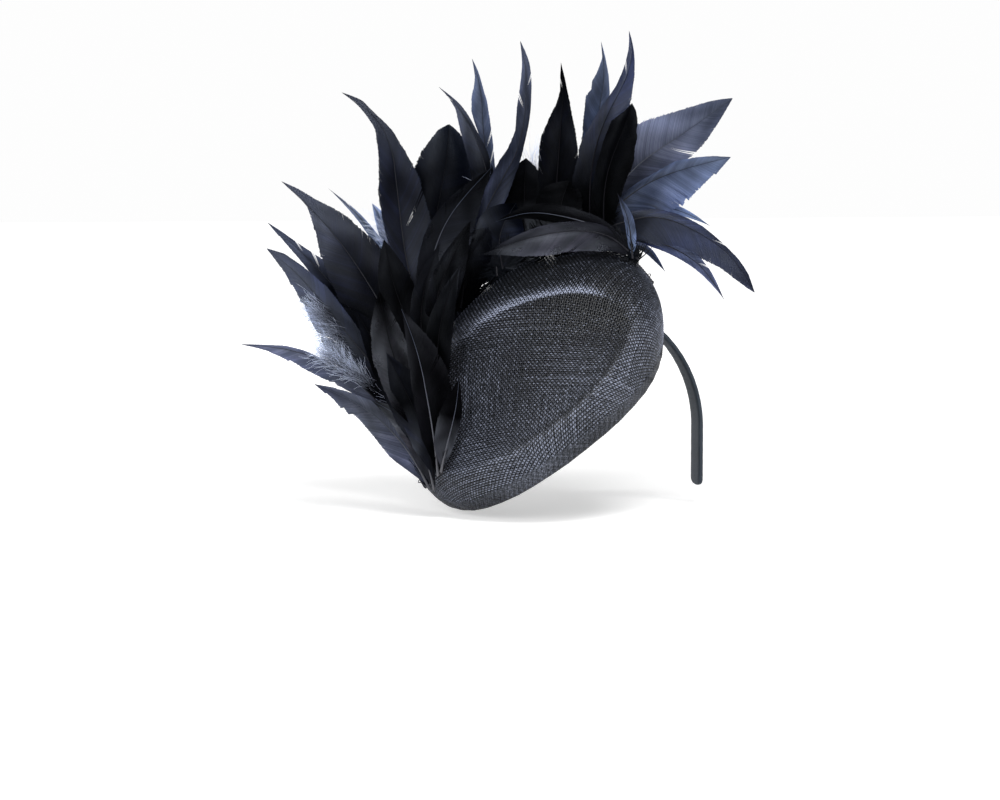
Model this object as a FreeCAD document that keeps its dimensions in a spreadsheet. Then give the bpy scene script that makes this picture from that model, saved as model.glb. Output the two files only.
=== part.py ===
import FreeCAD, Part
import os
import math
import Sketcher

# Percher hat with a feather crest on a covered headband, millimetres.
# The origin is the centre of the headband arch. +Z is up, -Y is the wearer's
# front, +X is the wearer's left. The arch stands in the XZ plane.
# The crown is the space shared by a dome (a flattened ball) and a very large
# ring-shaped body that flattens its front right facet. Each cloth layer is the
# gap between two such bodies, and stops at an opening shaped like a head.
# The double-curved skins are made with Part functions, the feathers and the
# headband with PartDesign sketches; all of them take their sizes from the sheet.

Vector = FreeCAD.Vector
doc = FreeCAD.newDocument("percher_hat")
dims = doc.addObject("Spreadsheet::Sheet", "Dims")

# Places and directions of the dome, the facet and the head opening.
# DOME_AXIS is the dome's short axis, DOME_SIDE lies across it.
DOME_CENTRE = Vector(-23.7848, -1.7200, 29.3483)
DOME_SIDE = Vector(0.651928, -0.380534, 0.655884)
DOME_AXIS = Vector(-0.747638, -0.178161, 0.639762)
# FACET_OUT points outward at FACET_TOP, FACET_AXIS is the ring's own axis.
FACET_TOP = Vector(-56.548, -22.962, 51.974)
FACET_AXIS = Vector(-0.686306, 0.487573, -0.539682)
FACET_OUT = Vector(-0.726828, -0.486866, 0.484441)
HEAD_CENTRE = Vector(0.00, 16.01, -20.53)

# Driving dimensions; a text is a formula of the rows above it.
SIZES = (
    # crown body: dome, facet and head opening
    ("dome_radius", 86.330), ("dome_depth", 48.478),
    ("facet_big_radius", 707.19), ("facet_small_radius", 164.36),
    ("head_half_width", 75.0), ("head_radius", 99.65),
    ("crown_core", 66.0), ("crown_core_half_len", 100.0),
    # cloth layers, as distances from the outer face (positive is outward)
    ("outer_face", 0.0), ("outer_back", -0.9),
    ("inner_face", -1.0), ("inner_back", -1.8),
    ("lining_face", -2.0), ("lining_back", -2.4),
    ("layer_stop", 2.6),
    # bound edge, a channel round the bottom of the layers
    ("bind_face", 0.6), ("bind_slot_face", 0.1),
    ("bind_slot_back", -2.6), ("bind_back", -3.1),
    ("bind_bottom", 0.2), ("bind_slot_bottom", 0.8), ("bind_top", 4.6),
    # wire in the middle of the bound edge's slot
    ("wire_depth", "=(bind_slot_face + bind_slot_back) / 2"),
    ("wire_height", 1.7), ("wire_radius", 0.5), ("wire_step", 4.0),
    ("wire_end_gap", 0.3), ("wire_gap_floor", 30.0),
    ("sleeve_bore", 0.56), ("sleeve_radius", 0.8), ("sleeve_len", 7.0),
    # ribbon inside the opening
    ("ribbon_face", -3.3), ("ribbon_back", -3.8),
    ("ribbon_bottom", 1.0), ("ribbon_top", 16.0),
    # headband: cover, core inside it, and the slot the core sits in
    ("band_inner", 73.0), ("band_outer", 76.0), ("band_width", 16.0),
    ("core_inner", 73.9), ("core_outer", 75.1), ("core_width", 13.4),
    ("core_clearance", 0.06),
    ("slot_inner", "=core_inner - core_clearance"),
    ("slot_outer", "=core_outer + core_clearance"),
    ("slot_width", 13.6),
    ("arm_drop", 34.0), ("band_stop", 0.0), ("core_stop", 1.4), ("slot_stop", 1.2),
    # the hinge lies at an angle up from +X; angles are in degrees
    ("hinge_angle", 30.0), ("hinge_gap", 0.35),
    ("hinge_turn", "=hinge_gap / ((band_inner + band_outer) / 2) * 180 / pi"),
    ("slot_overrun", 1.0),
    # gap the band passes through
    ("tunnel_clearance", 1.0),
    ("tunnel_inner", "=band_inner - tunnel_clearance"),
    ("tunnel_outer", "=band_outer + tunnel_clearance"),
    ("tunnel_width", 17.4), ("arm_clearance", 2.0),
    # cords, threads, tacks
    ("cord_radius", 1.2), ("thread_radius", 0.25), ("thread_loop", 1.62),
    ("thread_spacing", 11.0),
    ("tack_radius", 0.35), ("tack_len", 13.0), ("tack_arch", 76.55),
    ("tack_first_angle", 50.5), ("tack_angle_step", 3.0),
    # feathers
    ("vane_thick", 0.5), ("quill_half", 0.8), ("tip_half", 0.3),
    ("quill_part", 0.07), ("blank_half", 70.0), ("blank_over", 6.0),
    ("trim_margin", 2.0),
)
TACK_COUNT = 4

# Points x, y, z along the two cords that the quills are tied to.
CORDS = (
    ("feather_cord_back", (
        (-81.61, 21.51, -33.49), (-87.05, 34.35, -18.88), (-87.16, 43.83, -2.42),
        (-82.94, 50.69, 15.69), (-75.61, 54.50, 32.97), (-64.69, 55.76, 50.95),
        (-51.28, 54.12, 67.46), (-35.61, 49.53, 82.07), (-17.97, 41.73, 93.90),
        (1.59, 30.01, 101.65), (20.10, 15.30, 102.64), (34.34, -0.20, 96.08),
        (42.60, -14.13, 83.60))),
    ("feather_cord_front", (
        (-85.39, -30.46, -19.85), (-86.34, -25.12, -9.81), (-85.89, -18.65, 0.15),
        (-84.52, -13.13, 10.80), (-82.28, -8.74, 21.60), (-79.13, -5.39, 32.51),
        (-75.23, -3.70, 42.44))),
)

# Columns: name, root position, direction to the tip, direction across the
# vane, length, bulge of the two vane edges, bow out of the vane's plane.
# Left and right in these names are as seen by someone facing the wearer.
FEATHERS = (
    ("right_01", (-3.91, 24.2, 114.73), (0.98846, -0.15143, -0.00266),
     (0.01585, 0.08598, 0.99617), 91.4, 13.2, -8.6, 2.0),
    ("right_02", (0.21, 2.17, 104.7), (0.76411, 0.14315, 0.629),
     (-0.64346, 0.2383, 0.72744), 134.2, 21.5, 1.7, -5.5),
    ("right_03", (-3.28, 0.97, 104.11), (0.89055, 0.0771, 0.4483),
     (-0.45431, 0.20035, 0.86802), 113.2, 15.8, 0.6, 1.9),
    ("right_04", (-10.54, 1.0, 108.35), (0.95625, -0.13383, -0.26014),
     (0.26461, 0.01643, 0.96422), 119.6, 32.8, -21.3, 3.0),
    ("right_05", (24.18, 0.9, 112.86), (0.81231, -0.23813, -0.5324),
     (0.53325, -0.0665, 0.84334), 74.9, 13.3, -6.9, 2.0),
    ("right_06", (7.65, -6.36, 105.23), (0.93459, -0.09164, -0.34372),
     (0.34454, -0.00729, 0.93874), 47.0, 10.5, -6.8, 1.0),
    ("right_07", (25.22, -30.84, 98.03), (-0.1135, 0.38425, 0.91622),
     (-0.94789, 0.23444, -0.21575), 40.0, -0.6, 5.2, 1.0),
    ("top_01", (-37.39, 28.66, 86.23), (-0.03291, 0.30726, 0.95106),
     (-0.96223, 0.24757, -0.11328), 132.8, 3.1, 5.4, -2.9),
    ("top_02", (7.82, 1.07, 105.04), (0.15171, 0.27612, 0.94908),
     (-0.96132, 0.26453, 0.0767), 123.0, 5.5, 5.3, -2.9),
    ("left_01", (-75.49, 38.91, 43.27), (-0.42884, 0.39536, 0.81227),
     (-0.83274, 0.17557, -0.5251), 115.2, -5.8, 10.1, -1.0),
    ("left_02", (-83.99, 30.08, 30.48), (-0.50075, 0.34734, 0.79285),
     (-0.80063, 0.16229, -0.57676), 139.4, 1.9, 17.2, 4.0),
    ("left_03", (-89.24, 20.4, 19.9), (-0.5552, 0.39416, 0.73239),
     (-0.75032, 0.14258, -0.64552), 133.2, -0.6, 10.4, -6.4),
    ("left_04", (-93.76, 6.24, 7.01), (-0.58127, 0.31844, 0.74881),
     (-0.75144, 0.14301, -0.64412), 128.6, 2.8, 11.8, 4.0),
    ("left_05", (-94.29, 4.17, -9.79), (-0.49776, 0.36538, 0.7866),
     (-0.79836, 0.16137, -0.58016), 109.0, 2.7, 11.4, 3.0),
    ("left_06", (-91.15, -4.44, -22.55), (-0.75684, 0.31344, 0.57353),
     (-0.58013, 0.08204, -0.81038), 126.0, -16.1, 25.6, 5.0),
    ("left_07", (-87.12, -11.61, -30.9), (-0.69013, 0.27857, 0.66792),
     (-0.66733, 0.11212, -0.73628), 88.2, -2.3, 13.9, 4.0),
    ("left_08", (-88.25, -25.75, -29.22), (-0.52284, 0.29052, 0.8014),
     (-0.79871, 0.16151, -0.57964), 61.6, -4.5, 12.0, 5.1),
    ("left_09", (-67.67, 36.7, 55.51), (-0.37809, 0.42049, 0.82476),
     (-0.85425, 0.18489, -0.48587), 88.1, 5.7, 6.0, 1.9),
    ("left_10", (-71.61, 37.45, 50.34), (-0.29737, 0.27222, 0.91513),
     (-0.90939, 0.21121, -0.35833), 155.4, 0.9, 15.9, 4.0),
    ("left_11", (-60.9, 33.93, 64.76), (0.04105, 0.29215, 0.95549),
     (-0.9661, 0.25555, -0.03663), 114.4, 20.3, 0.5, 2.0),
    ("left_12", (-61.22, 32.79, 65.15), (-0.01359, 0.24721, 0.96887),
     (-0.96474, 0.25146, -0.0777), 135.1, -20.5, 28.9, 2.0),
    ("top_03", (-63.73, 31.72, 62.91), (0.26952, 0.09036, 0.95875),
     (-0.93291, 0.27141, 0.23668), 166.3, -4.4, 13.7, -1.0),
    ("top_04", (-13.55, -1.12, 102.43), (0.14078, 0.32074, 0.93664),
     (-0.96323, 0.26305, 0.0547), 114.3, 7.1, 7.9, 1.9),
    ("top_05", (8.06, -4.98, 105.19), (0.23558, 0.18505, 0.95407),
     (-0.94571, 0.26981, 0.18118), 128.2, 12.4, -0.5, 3.6),
    ("top_06", (15.1, -9.08, 104.12), (0.24213, 0.15951, 0.95704),
     (-0.94313, 0.27024, 0.19357), 85.1, 13.9, 0.8, 2.0),
    ("top_07", (1.56, -0.89, 104.6), (0.26423, 0.32062, 0.9096),
     (-0.94601, 0.26976, 0.17972), 59.7, 7.0, 6.6, 2.2),
    ("top_08", (-20.73, 31.21, 95.09), (0.05892, 0.14306, 0.98796),
     (-0.96528, 0.26045, 0.01985), 59.9, 8.0, 6.3, 1.0),
    ("top_09", (-7.25, -1.47, 103.51), (0.16349, 0.22144, 0.96137),
     (-0.95857, 0.26606, 0.10173), 39.3, 9.3, 2.2, 2.8),
    ("sweep_01", (31.79, -22.23, 97.03), (-0.9377, 0.23573, 0.25523),
     (-0.26633, -0.01593, -0.96375), 84.0, -9.3, 17.9, 3.0),
    ("sweep_02", (29.29, -29.88, 97.09), (-0.96662, 0.25381, 0.035),
     (-0.0558, -0.07522, -0.9956), 88.7, -9.2, 18.2, 2.0),
    ("inner_01", (-83.19, 4.09, 34.13), (-0.29451, 0.16377, 0.94151),
     (-0.92024, 0.21709, -0.32561), 79.3, 8.5, 3.2, 3.0),
    ("inner_02", (-76.73, 32.2, 44.56), (0.35079, 0.05657, 0.93474),
     (-0.90621, 0.27213, 0.32362), 112.5, 20.5, -5.8, 4.0),
    ("inner_03", (-77.86, 9.17, 46.12), (0.25773, -0.01866, 0.96604),
     (-0.92853, 0.27171, 0.25298), 75.9, 10.7, -1.2, 14.0),
    ("inner_04", (-85.5, -10.19, 26.27), (0.08209, 0.09782, 0.99181),
     (-0.9633, 0.26299, 0.0538), 81.9, 12.0, -3.9, -8.3),
    ("inner_05", (-94.26, -27.34, -1.01), (-0.23025, 0.25654, 0.93871),
     (-0.93084, 0.22321, -0.28932), 87.6, 8.7, 2.8, 3.0),
    ("inner_06", (-93.12, -27.2, -13.3), (-0.36865, 0.26468, 0.89109),
     (-0.88349, 0.19829, -0.4244), 94.8, 1.7, 9.9, 3.0),
    ("inner_07", (-89.76, -32.05, -22.88), (-0.31285, 0.19133, 0.93033),
     (-0.91212, 0.21266, -0.35046), 75.6, 1.5, 10.0, 2.0),
    ("inner_08", (-87.89, -33.7, -20.53), (-0.19908, 0.08043, 0.97668),
     (-0.94847, 0.23488, -0.21267), 94.9, 0.5, 11.4, 3.0),
    ("inner_09", (-86.98, -36.96, -17.98), (0.15627, -0.1492, 0.97638),
     (-0.94341, 0.2702, 0.19228), 53.1, 3.3, 3.3, 1.0),
    ("inner_10", (-83.19, -19.47, 14.69), (0.13514, -0.0472, 0.9897),
     (-0.9527, 0.26822, 0.14288), 82.6, 10.4, -2.5, 2.0),
    ("inner_11", (-58.6, 30.43, 68.58), (0.37258, 0.0167, 0.92785),
     (-0.89472, 0.27184, 0.35438), 50.4, 9.2, -0.5, 1.0),
    ("inner_12", (-33.64, 29.86, 90.09), (0.20273, 0.02033, 0.97902),
     (-0.94392, 0.27012, 0.18986), 39.2, 10.9, 0.5, 1.0),
)


def fill_sheet():
    """Writes every size into the sheet and names its cell."""
    rows = list(SIZES)
    for number, feather_row in enumerate(FEATHERS, 1):
        for column, value in zip(("len", "lead", "trail", "bow"), feather_row[4:]):
            rows.append(("f%02d_%s" % (number, column), value))
    for number, (alias, value) in enumerate(rows, 1):
        cell = "B%d" % number
        dims.set("A%d" % number, alias)
        dims.set(cell, str(value))
        dims.setAlias(cell, alias)
    doc.recompute()


def size(alias):
    return float(dims.get(alias))


# ---- Part helpers: bodies named by the alias of their offset ----

def ball(centre, axis, side, along, across):
    """A flattened ball: half an ellipse, on the given side, turned about its axis."""
    ellipse = Part.Ellipse(centre + side * across, centre + axis * along, centre)
    start = ellipse.parameter(centre - axis * along)
    end = ellipse.parameter(centre + axis * along)
    if end < start:
        end += 2 * math.pi
    edge = Part.ArcOfEllipse(ellipse, start, end).toShape()
    closing = Part.makeLine(edge.Vertexes[-1].Point, edge.Vertexes[0].Point)
    return Part.Face(Part.Wire([edge, closing])).revolve(centre, axis, 360)


def dome(offset, seam=1):
    """The crown's dome grown by an offset; seam -1 puts the seam on the far side."""
    return ball(DOME_CENTRE, DOME_AXIS, DOME_SIDE * seam,
                size("dome_depth") + size(offset), size("dome_radius") + size(offset))


def head(offset, seam=1):
    """The head-shaped opening grown by an offset."""
    return ball(HEAD_CENTRE, Vector(1, 0, 0), Vector(0, 0, seam),
                size("head_half_width") + size(offset), size("head_radius") + size(offset))


def facet(offset):
    """The large ring-shaped body whose outer side is the flat facet."""
    big, small = size("facet_big_radius"), size("facet_small_radius")
    return Part.makeTorus(big - small, small + size(offset),
                          FACET_TOP - FACET_OUT * big, FACET_AXIS)


def crown_body(offset, seam=1):
    return dome(offset, seam).common(facet(offset))


def tunnel():
    """The arch-shaped gap that the headband passes through."""
    width = size("tunnel_width")
    start, direction = Vector(0, -width / 2, 0), Vector(0, 1, 0)
    return Part.makeCylinder(size("tunnel_outer"), width, start, direction).cut(
        Part.makeCylinder(size("tunnel_inner"), width, start, direction))


def rim(prefix):
    """A strip of the dome's skin just above the head opening."""
    half_len = size("crown_core_half_len")
    core = Part.makeCylinder(size("crown_core"), 2 * half_len,
                             DOME_CENTRE - DOME_AXIS * half_len, DOME_AXIS)
    skin = dome(prefix + "_face").cut(dome(prefix + "_back", -1)).cut(core)
    return skin.cut(head(prefix + "_bottom")).common(head(prefix + "_top", -1))


def spline(points):
    curve = Part.BSplineCurve()
    curve.interpolate(points)
    return curve


def tube(points, radius):
    """A round rod along a smooth line through the points."""
    curve = spline(points)
    start = curve.FirstParameter
    circle = Part.makeCircle(radius, curve.value(start), curve.tangent(start)[0])
    return Part.Wire([curve.toShape()]).makePipeShell([Part.Wire([circle])], True, True)


def single(shape):
    """The one solid of a boolean result."""
    if len(shape.Solids) != 1:
        raise RuntimeError("expected one solid, found %d" % len(shape.Solids))
    return shape.Solids[0]


def feature(label, shape):
    """A node that holds a computed shape, placed at the origin."""
    node = doc.addObject("Part::Feature", label)
    node.Label = label
    node.Shape = shape
    node.Placement = FreeCAD.Placement()
    return node


# ---- crown, edge and ribbon ----

def crown_layer(label, prefix):
    """A cloth layer between two offsets, open at the head and the band."""
    skin = crown_body(prefix + "_face").cut(crown_body(prefix + "_back", -1))
    return feature(label, single(skin.cut(head("layer_stop")).cut(tunnel())))


def edge_binding():
    """A ring with a slot that the layers and the wire sit in."""
    slot = dome("bind_slot_face", -1).cut(dome("bind_slot_back"))
    slot = slot.cut(head("bind_slot_bottom"))
    return feature("edge_binding", single(rim("bind").cut(slot).cut(tunnel())))


def grosgrain_ribbon():
    """The ribbon, with room for the straight arm of the band at -X."""
    ribbon = rim("ribbon").common(facet("ribbon_face")).cut(tunnel())
    outer, width = size("tunnel_outer"), size("tunnel_width")
    drop = size("arm_drop") + size("arm_clearance")
    arm_room = Part.makeBox(outer - size("tunnel_inner"), width, drop,
                            Vector(-outer, -width / 2, -drop))
    return feature("grosgrain_ribbon", single(ribbon.cut(arm_room)))


def wire_path():
    """Points round the bound edge, from one side of the band's gap to the other."""
    points = []
    for edge in Part.sortEdges(dome("wire_depth").section(head("wire_height")).Edges)[0]:
        run = edge.discretize(max(8, int(edge.Length / size("wire_step"))))
        if points and (run[0] - points[-1]).Length > (run[-1] - points[-1]).Length:
            run = run[::-1]
        points += run[1:] if points else run
    loop = points[:-1]

    # the gap is where the band passes through the edge on the wearer's left
    half_gap = size("tunnel_width") / 2 + size("wire_end_gap")
    floor = size("wire_gap_floor")
    in_gap = [abs(point.y) < half_gap and point.x > 0 and point.z > floor
              for point in loop]
    count = len(loop)
    start = 1 + max(i for i in range(count) if in_gap[i] and not in_gap[(i + 1) % count])
    path = []
    for i in range(count):
        at = (start + i) % count
        if in_gap[at]:
            break
        path.append(loop[at])
    return path


def edge_wire():
    """The wire, and a short sleeve on each of its ends."""
    path = wire_path()
    count = max(3, int(round(size("sleeve_len") / size("wire_step"))) + 1)
    sleeves = []
    for points in (path[:count], path[-count:][::-1]):
        sleeves.append(tube(points, size("sleeve_radius")).cut(
            tube(points, size("sleeve_bore"))))
    return [feature("edge_wire", tube(path, size("wire_radius"))),
            feature("edge_wire_end_sleeves", Part.Compound(sleeves))]


# ---- cords, threads and tacks ----

def cords_and_threads():
    """The two cords, and thread loops spaced evenly along them."""
    made, loops = [], []
    for label, table in CORDS:
        points = [Vector(*point) for point in table]
        made.append(feature(label, tube(points, size("cord_radius"))))
        edge = spline(points).toShape()
        count = int(edge.Length / size("thread_spacing"))
        for i in range(count):
            at = edge.getParameterByLength(edge.Length * (i + 0.5) / count)
            loops.append(Part.makeTorus(size("thread_loop"), size("thread_radius"),
                                        edge.valueAt(at), edge.tangentAt(at)))
    made.append(feature("feather_tie_threads", Part.Compound(loops)))
    return made


def band_tacks():
    """Tacks laid across the band where it passes under the edge."""
    arch, length = size("tack_arch"), size("tack_len")
    tacks = []
    for i in range(TACK_COUNT):
        angle = math.radians(size("tack_first_angle") + i * size("tack_angle_step"))
        start = Vector(arch * math.cos(angle), -length / 2, arch * math.sin(angle))
        tacks.append(Part.makeCylinder(size("tack_radius"), length, start, Vector(0, 1, 0)))
    return feature("band_tacks", Part.Compound(tacks))


# ---- sketch helpers ----
# A line or arc is handled as its two ends, each a (geometry, point) pair;
# sketch point 1 is a start, 2 an end and 3 a centre.

def new_body(label):
    body = doc.addObject("PartDesign::Body", "Body_" + label)
    body.Label = label
    return body


def new_sketch(body, plane, name):
    sketch = body.newObject("Sketcher::SketchObject", name)
    for origin_part in body.Origin.OriginFeatures:
        if origin_part.Role == plane:
            sketch.AttachmentSupport = [(origin_part, "")]
    sketch.MapMode = "FlatFace"
    return sketch


def add_step(body, kind, name, sketch):
    """A pad or pocket that reaches equally to both sides of its sketch."""
    step = body.newObject("PartDesign::" + kind, name)
    step.Profile = sketch
    step.SideType = "Symmetric"
    sketch.Visibility = False
    return step


def add_line(sketch, begin, end):
    line = sketch.addGeometry(Part.LineSegment(Vector(*begin, 0), Vector(*end, 0)), False)
    return (line, 1), (line, 2)


def add_arc(sketch, centre, radius, begin, end, ccw):
    """Arc from begin to end; it is stored counter-clockwise whichever way it runs."""
    first, last = (math.atan2(y - centre[1], x - centre[0])
                   for x, y in ((begin, end) if ccw else (end, begin)))
    if last < first:
        last += 2 * math.pi
    circle = Part.Circle(Vector(*centre, 0), Vector(0, 0, 1), radius)
    arc = sketch.addGeometry(Part.ArcOfCircle(circle, first, last), False)
    return ((arc, 1), (arc, 2)) if ccw else ((arc, 2), (arc, 1))


def join_loop(sketch, pieces):
    """Joins the end of each piece to the beginning of the next."""
    for piece, following in zip(pieces, pieces[1:] + pieces[:1]):
        sketch.addConstraint(Sketcher.Constraint("Coincident", *piece[1], *following[0]))


def bind(sketch, constraint, expression):
    index = sketch.addConstraint(constraint)
    sketch.setExpression("Constraints[%d]" % index, expression)


def pin(sketch, point, x=None, y=None):
    """Dimensions a point from the sketch's origin by expressions."""
    drawn = sketch.getPoint(*point)
    for kind, value, expression in (("DistanceX", drawn.x, x), ("DistanceY", drawn.y, y)):
        if expression:
            bind(sketch, Sketcher.Constraint(kind, -1, 1, *point, value), expression)


def bind_radius(sketch, arc, expression):
    geometry = arc[0][0]
    radius = sketch.Geometry[geometry].Radius
    bind(sketch, Sketcher.Constraint("Radius", geometry, radius), expression)


def bulged_circle(begin, end, bulge):
    """Centre and radius of the arc from begin to end that stands off by bulge,
    to the left of the way from begin to end when bulge is positive."""
    run, rise = end[0] - begin[0], end[1] - begin[1]
    chord = math.hypot(run, rise)
    height = abs(bulge)
    radius = (chord * chord / 4 + height * height) / (2 * height)
    shift = (height - radius) * math.copysign(1, bulge)
    centre = ((begin[0] + end[0]) / 2 - rise / chord * shift,
              (begin[1] + end[1]) / 2 + run / chord * shift)
    return centre, radius


def bulge_radius(chord_squared, bulge):
    """The same radius as an expression."""
    return "(%s/4 + (%s)^2)/(2*abs(%s))" % (chord_squared, bulge, bulge)


# ---- feathers ----

def feather_side(body, number):
    """Side view of the blank: two arcs of one centre, closed at both ends."""
    prefix = "f%02d_" % number
    length, bow = size(prefix + "len"), size(prefix + "bow")
    thick, over = size("vane_thick"), size("blank_over")
    centre, middle = bulged_circle((0, 0), (length, 0), bow)

    def end_points(radius):
        return [(x, centre[1] + math.copysign(
            math.sqrt(radius ** 2 - (x - centre[0]) ** 2), bow))
            for x in (-over, length + over)]

    outer_radius, inner_radius = middle + thick / 2, middle - thick / 2
    outer_root, outer_tip = end_points(outer_radius)
    inner_root, inner_tip = end_points(inner_radius)
    sketch = new_sketch(body, "XZ_Plane", "side_%02d" % number)
    outer = add_arc(sketch, centre, outer_radius, outer_root, outer_tip, ccw=bow < 0)
    inner = add_arc(sketch, centre, inner_radius, inner_tip, inner_root, ccw=bow > 0)
    root_line = add_line(sketch, inner_root, outer_root)
    tip_line = add_line(sketch, outer_tip, inner_tip)
    join_loop(sketch, [outer, tip_line, inner, root_line])

    outer_centre, inner_centre = (outer[0][0], 3), (inner[0][0], 3)
    sketch.addConstraint(Sketcher.Constraint("Coincident", *outer_centre, *inner_centre))
    length_text, bow_text = "Dims.%slen" % prefix, "Dims.%sbow" % prefix
    radius_text = bulge_radius("(%s)^2" % length_text, bow_text)
    pin(sketch, outer_centre, x=length_text + "/2",
        y="%s(%s - abs(%s))" % ("-" if bow > 0 else "", radius_text, bow_text))
    for arc, root, tip, sign in ((outer, outer[0], outer[1], "+"),
                                 (inner, inner[1], inner[0], "-")):
        bind_radius(sketch, arc, "%s %s Dims.vane_thick/2" % (radius_text, sign))
        pin(sketch, root, x="-Dims.blank_over")
        pin(sketch, tip, x=length_text + " + Dims.blank_over")
    return sketch


def feather_leaf(body, number):
    """Plan view: a box larger than the blank, with the leaf as an island in it."""
    prefix = "f%02d_" % number
    length, lead, trail = (size(prefix + name) for name in ("len", "lead", "trail"))
    length_text = "Dims.%slen" % prefix
    sketch = new_sketch(body, "XY_Plane", "leaf_%02d" % number)

    margin = size("blank_over") + size("trim_margin")
    half = size("blank_half") + size("trim_margin")
    corners = [(-margin, -half), (length + margin, -half),
               (length + margin, half), (-margin, half)]
    box = [add_line(sketch, corners[i], corners[(i + 1) % 4]) for i in range(4)]
    join_loop(sketch, box)
    for i, line in enumerate(box):
        kind = "Horizontal" if i % 2 == 0 else "Vertical"
        sketch.addConstraint(Sketcher.Constraint(kind, line[0][0]))
    pin(sketch, box[0][0], x="-Dims.blank_over - Dims.trim_margin",
        y="-Dims.blank_half - Dims.trim_margin")
    pin(sketch, box[1][1], x=length_text + " + Dims.blank_over + Dims.trim_margin",
        y="Dims.blank_half + Dims.trim_margin")

    # a parallel quill, then two curved vane edges that meet a blunt tip
    quill_end = length * size("quill_part")
    quill, tip = size("quill_half"), size("tip_half")
    root_lead, quill_lead, tip_lead = (0, quill), (quill_end, quill), (length, tip)
    root_trail, quill_trail, tip_trail = (0, -quill), (quill_end, -quill), (length, -tip)
    lead_edge = add_arc(sketch, *bulged_circle(quill_lead, tip_lead, lead),
                        quill_lead, tip_lead, ccw=lead < 0)
    trail_edge = add_arc(sketch, *bulged_circle(tip_trail, quill_trail, trail),
                         tip_trail, quill_trail, ccw=trail < 0)
    tip_line = add_line(sketch, tip_lead, tip_trail)
    trail_line = add_line(sketch, quill_trail, root_trail)
    root_line = add_line(sketch, root_trail, root_lead)
    lead_line = add_line(sketch, root_lead, quill_lead)
    join_loop(sketch, [lead_edge, tip_line, trail_edge, trail_line, root_line, lead_line])

    quill_text = length_text + "*Dims.quill_part"
    pin(sketch, tip_line[0], x=length_text, y="Dims.tip_half")
    pin(sketch, tip_line[1], x=length_text, y="-Dims.tip_half")
    pin(sketch, lead_line[1], x=quill_text, y="Dims.quill_half")
    pin(sketch, trail_line[0], x=quill_text, y="-Dims.quill_half")
    for point, half_text in ((lead_line[0], "Dims.quill_half"),
                             (trail_line[1], "-Dims.quill_half")):
        sketch.addConstraint(Sketcher.Constraint("PointOnObject", *point, -2))
        pin(sketch, point, y=half_text)
    chord_squared = ("((%s*(1-Dims.quill_part))^2 + (Dims.quill_half-Dims.tip_half)^2)"
                     % length_text)
    for arc, name in ((lead_edge, "lead"), (trail_edge, "trail")):
        bind_radius(sketch, arc, bulge_radius(chord_squared, "Dims.%s%s" % (prefix, name)))
    return sketch


def feather(number, name, root, along, across):
    """A quill and vane: a thin bowed blank trimmed to a leaf outline."""
    body = new_body("feather_" + name)
    blank = add_step(body, "Pad", "blank_%02d" % number, feather_side(body, number))
    blank.setExpression("Length", "2*Dims.blank_half")
    trim = add_step(body, "Pocket", "trim_%02d" % number, feather_leaf(body, number))
    trim.Type = "ThroughAll"
    x, y = Vector(*along), Vector(*across)
    z = x.cross(y)
    body.Placement = FreeCAD.Placement(FreeCAD.Matrix(
        x.x, y.x, z.x, root[0], x.y, y.y, z.y, root[1], x.z, y.z, z.z, root[2],
        0, 0, 0, 1))
    return body


# ---- headband ----

def band_step(body, label, number, prefix, left):
    """Pads, or for the slot pockets, an arch from the hinge and its straight arm.
    The left length ends at +X, the other one at -X."""
    hollow = prefix == "slot"
    away, toward = ("-", "+") if left else ("+", "-")
    angle = size("hinge_angle") + float(away + "1") * size("hinge_turn")
    angle_text = "Dims.hinge_angle %s Dims.hinge_turn" % away
    if hollow:
        # the slot runs past the hinge end of the cover, so it is open there
        angle += float(toward + "1") * size("slot_overrun")
        angle_text += " %s Dims.slot_overrun" % toward
    cosine, sine = math.cos(math.radians(angle)), math.sin(math.radians(angle))
    inner, outer = size(prefix + "_inner"), size(prefix + "_outer")
    bottom = size(prefix + "_stop") - size("arm_drop")
    side = 1.0 if left else -1.0
    inner_hinge, outer_hinge = (inner * cosine, inner * sine), (outer * cosine, outer * sine)
    inner_top, outer_top = (side * inner, 0.0), (side * outer, 0.0)
    inner_foot, outer_foot = (side * inner, bottom), (side * outer, bottom)

    sketch = new_sketch(body, "XZ_Plane", "%s_profile_%d" % (label, number))
    outer_arc = add_arc(sketch, (0, 0), outer, outer_hinge, outer_top, ccw=not left)
    inner_arc = add_arc(sketch, (0, 0), inner, inner_top, inner_hinge, ccw=left)
    outer_line = add_line(sketch, outer_top, outer_foot)
    foot_line = add_line(sketch, outer_foot, inner_foot)
    inner_line = add_line(sketch, inner_foot, inner_top)
    hinge_line = add_line(sketch, inner_hinge, outer_hinge)
    join_loop(sketch, [outer_arc, outer_line, foot_line, inner_line, inner_arc, hinge_line])
    for arc, hinge, top, name in ((outer_arc, outer_arc[0], outer_arc[1], "outer"),
                                  (inner_arc, inner_arc[1], inner_arc[0], "inner")):
        radius_text = "Dims.%s_%s" % (prefix, name)
        sketch.addConstraint(Sketcher.Constraint("Coincident", arc[0][0], 3, -1, 1))
        bind_radius(sketch, arc, radius_text)
        pin(sketch, hinge, x="%s*cos(%s)" % (radius_text, angle_text))
        sketch.addConstraint(Sketcher.Constraint("PointOnObject", *top, -1))
    for line in (outer_line, inner_line):
        sketch.addConstraint(Sketcher.Constraint("Vertical", line[0][0]))
    for foot in (outer_line[1], foot_line[1]):
        pin(sketch, foot, y="Dims.%s_stop - Dims.arm_drop" % prefix)

    step = add_step(body, "Pocket" if hollow else "Pad",
                    "%s_step_%d" % (label, number), sketch)
    step.setExpression("Length", "Dims.%s_width" % prefix)


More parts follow.
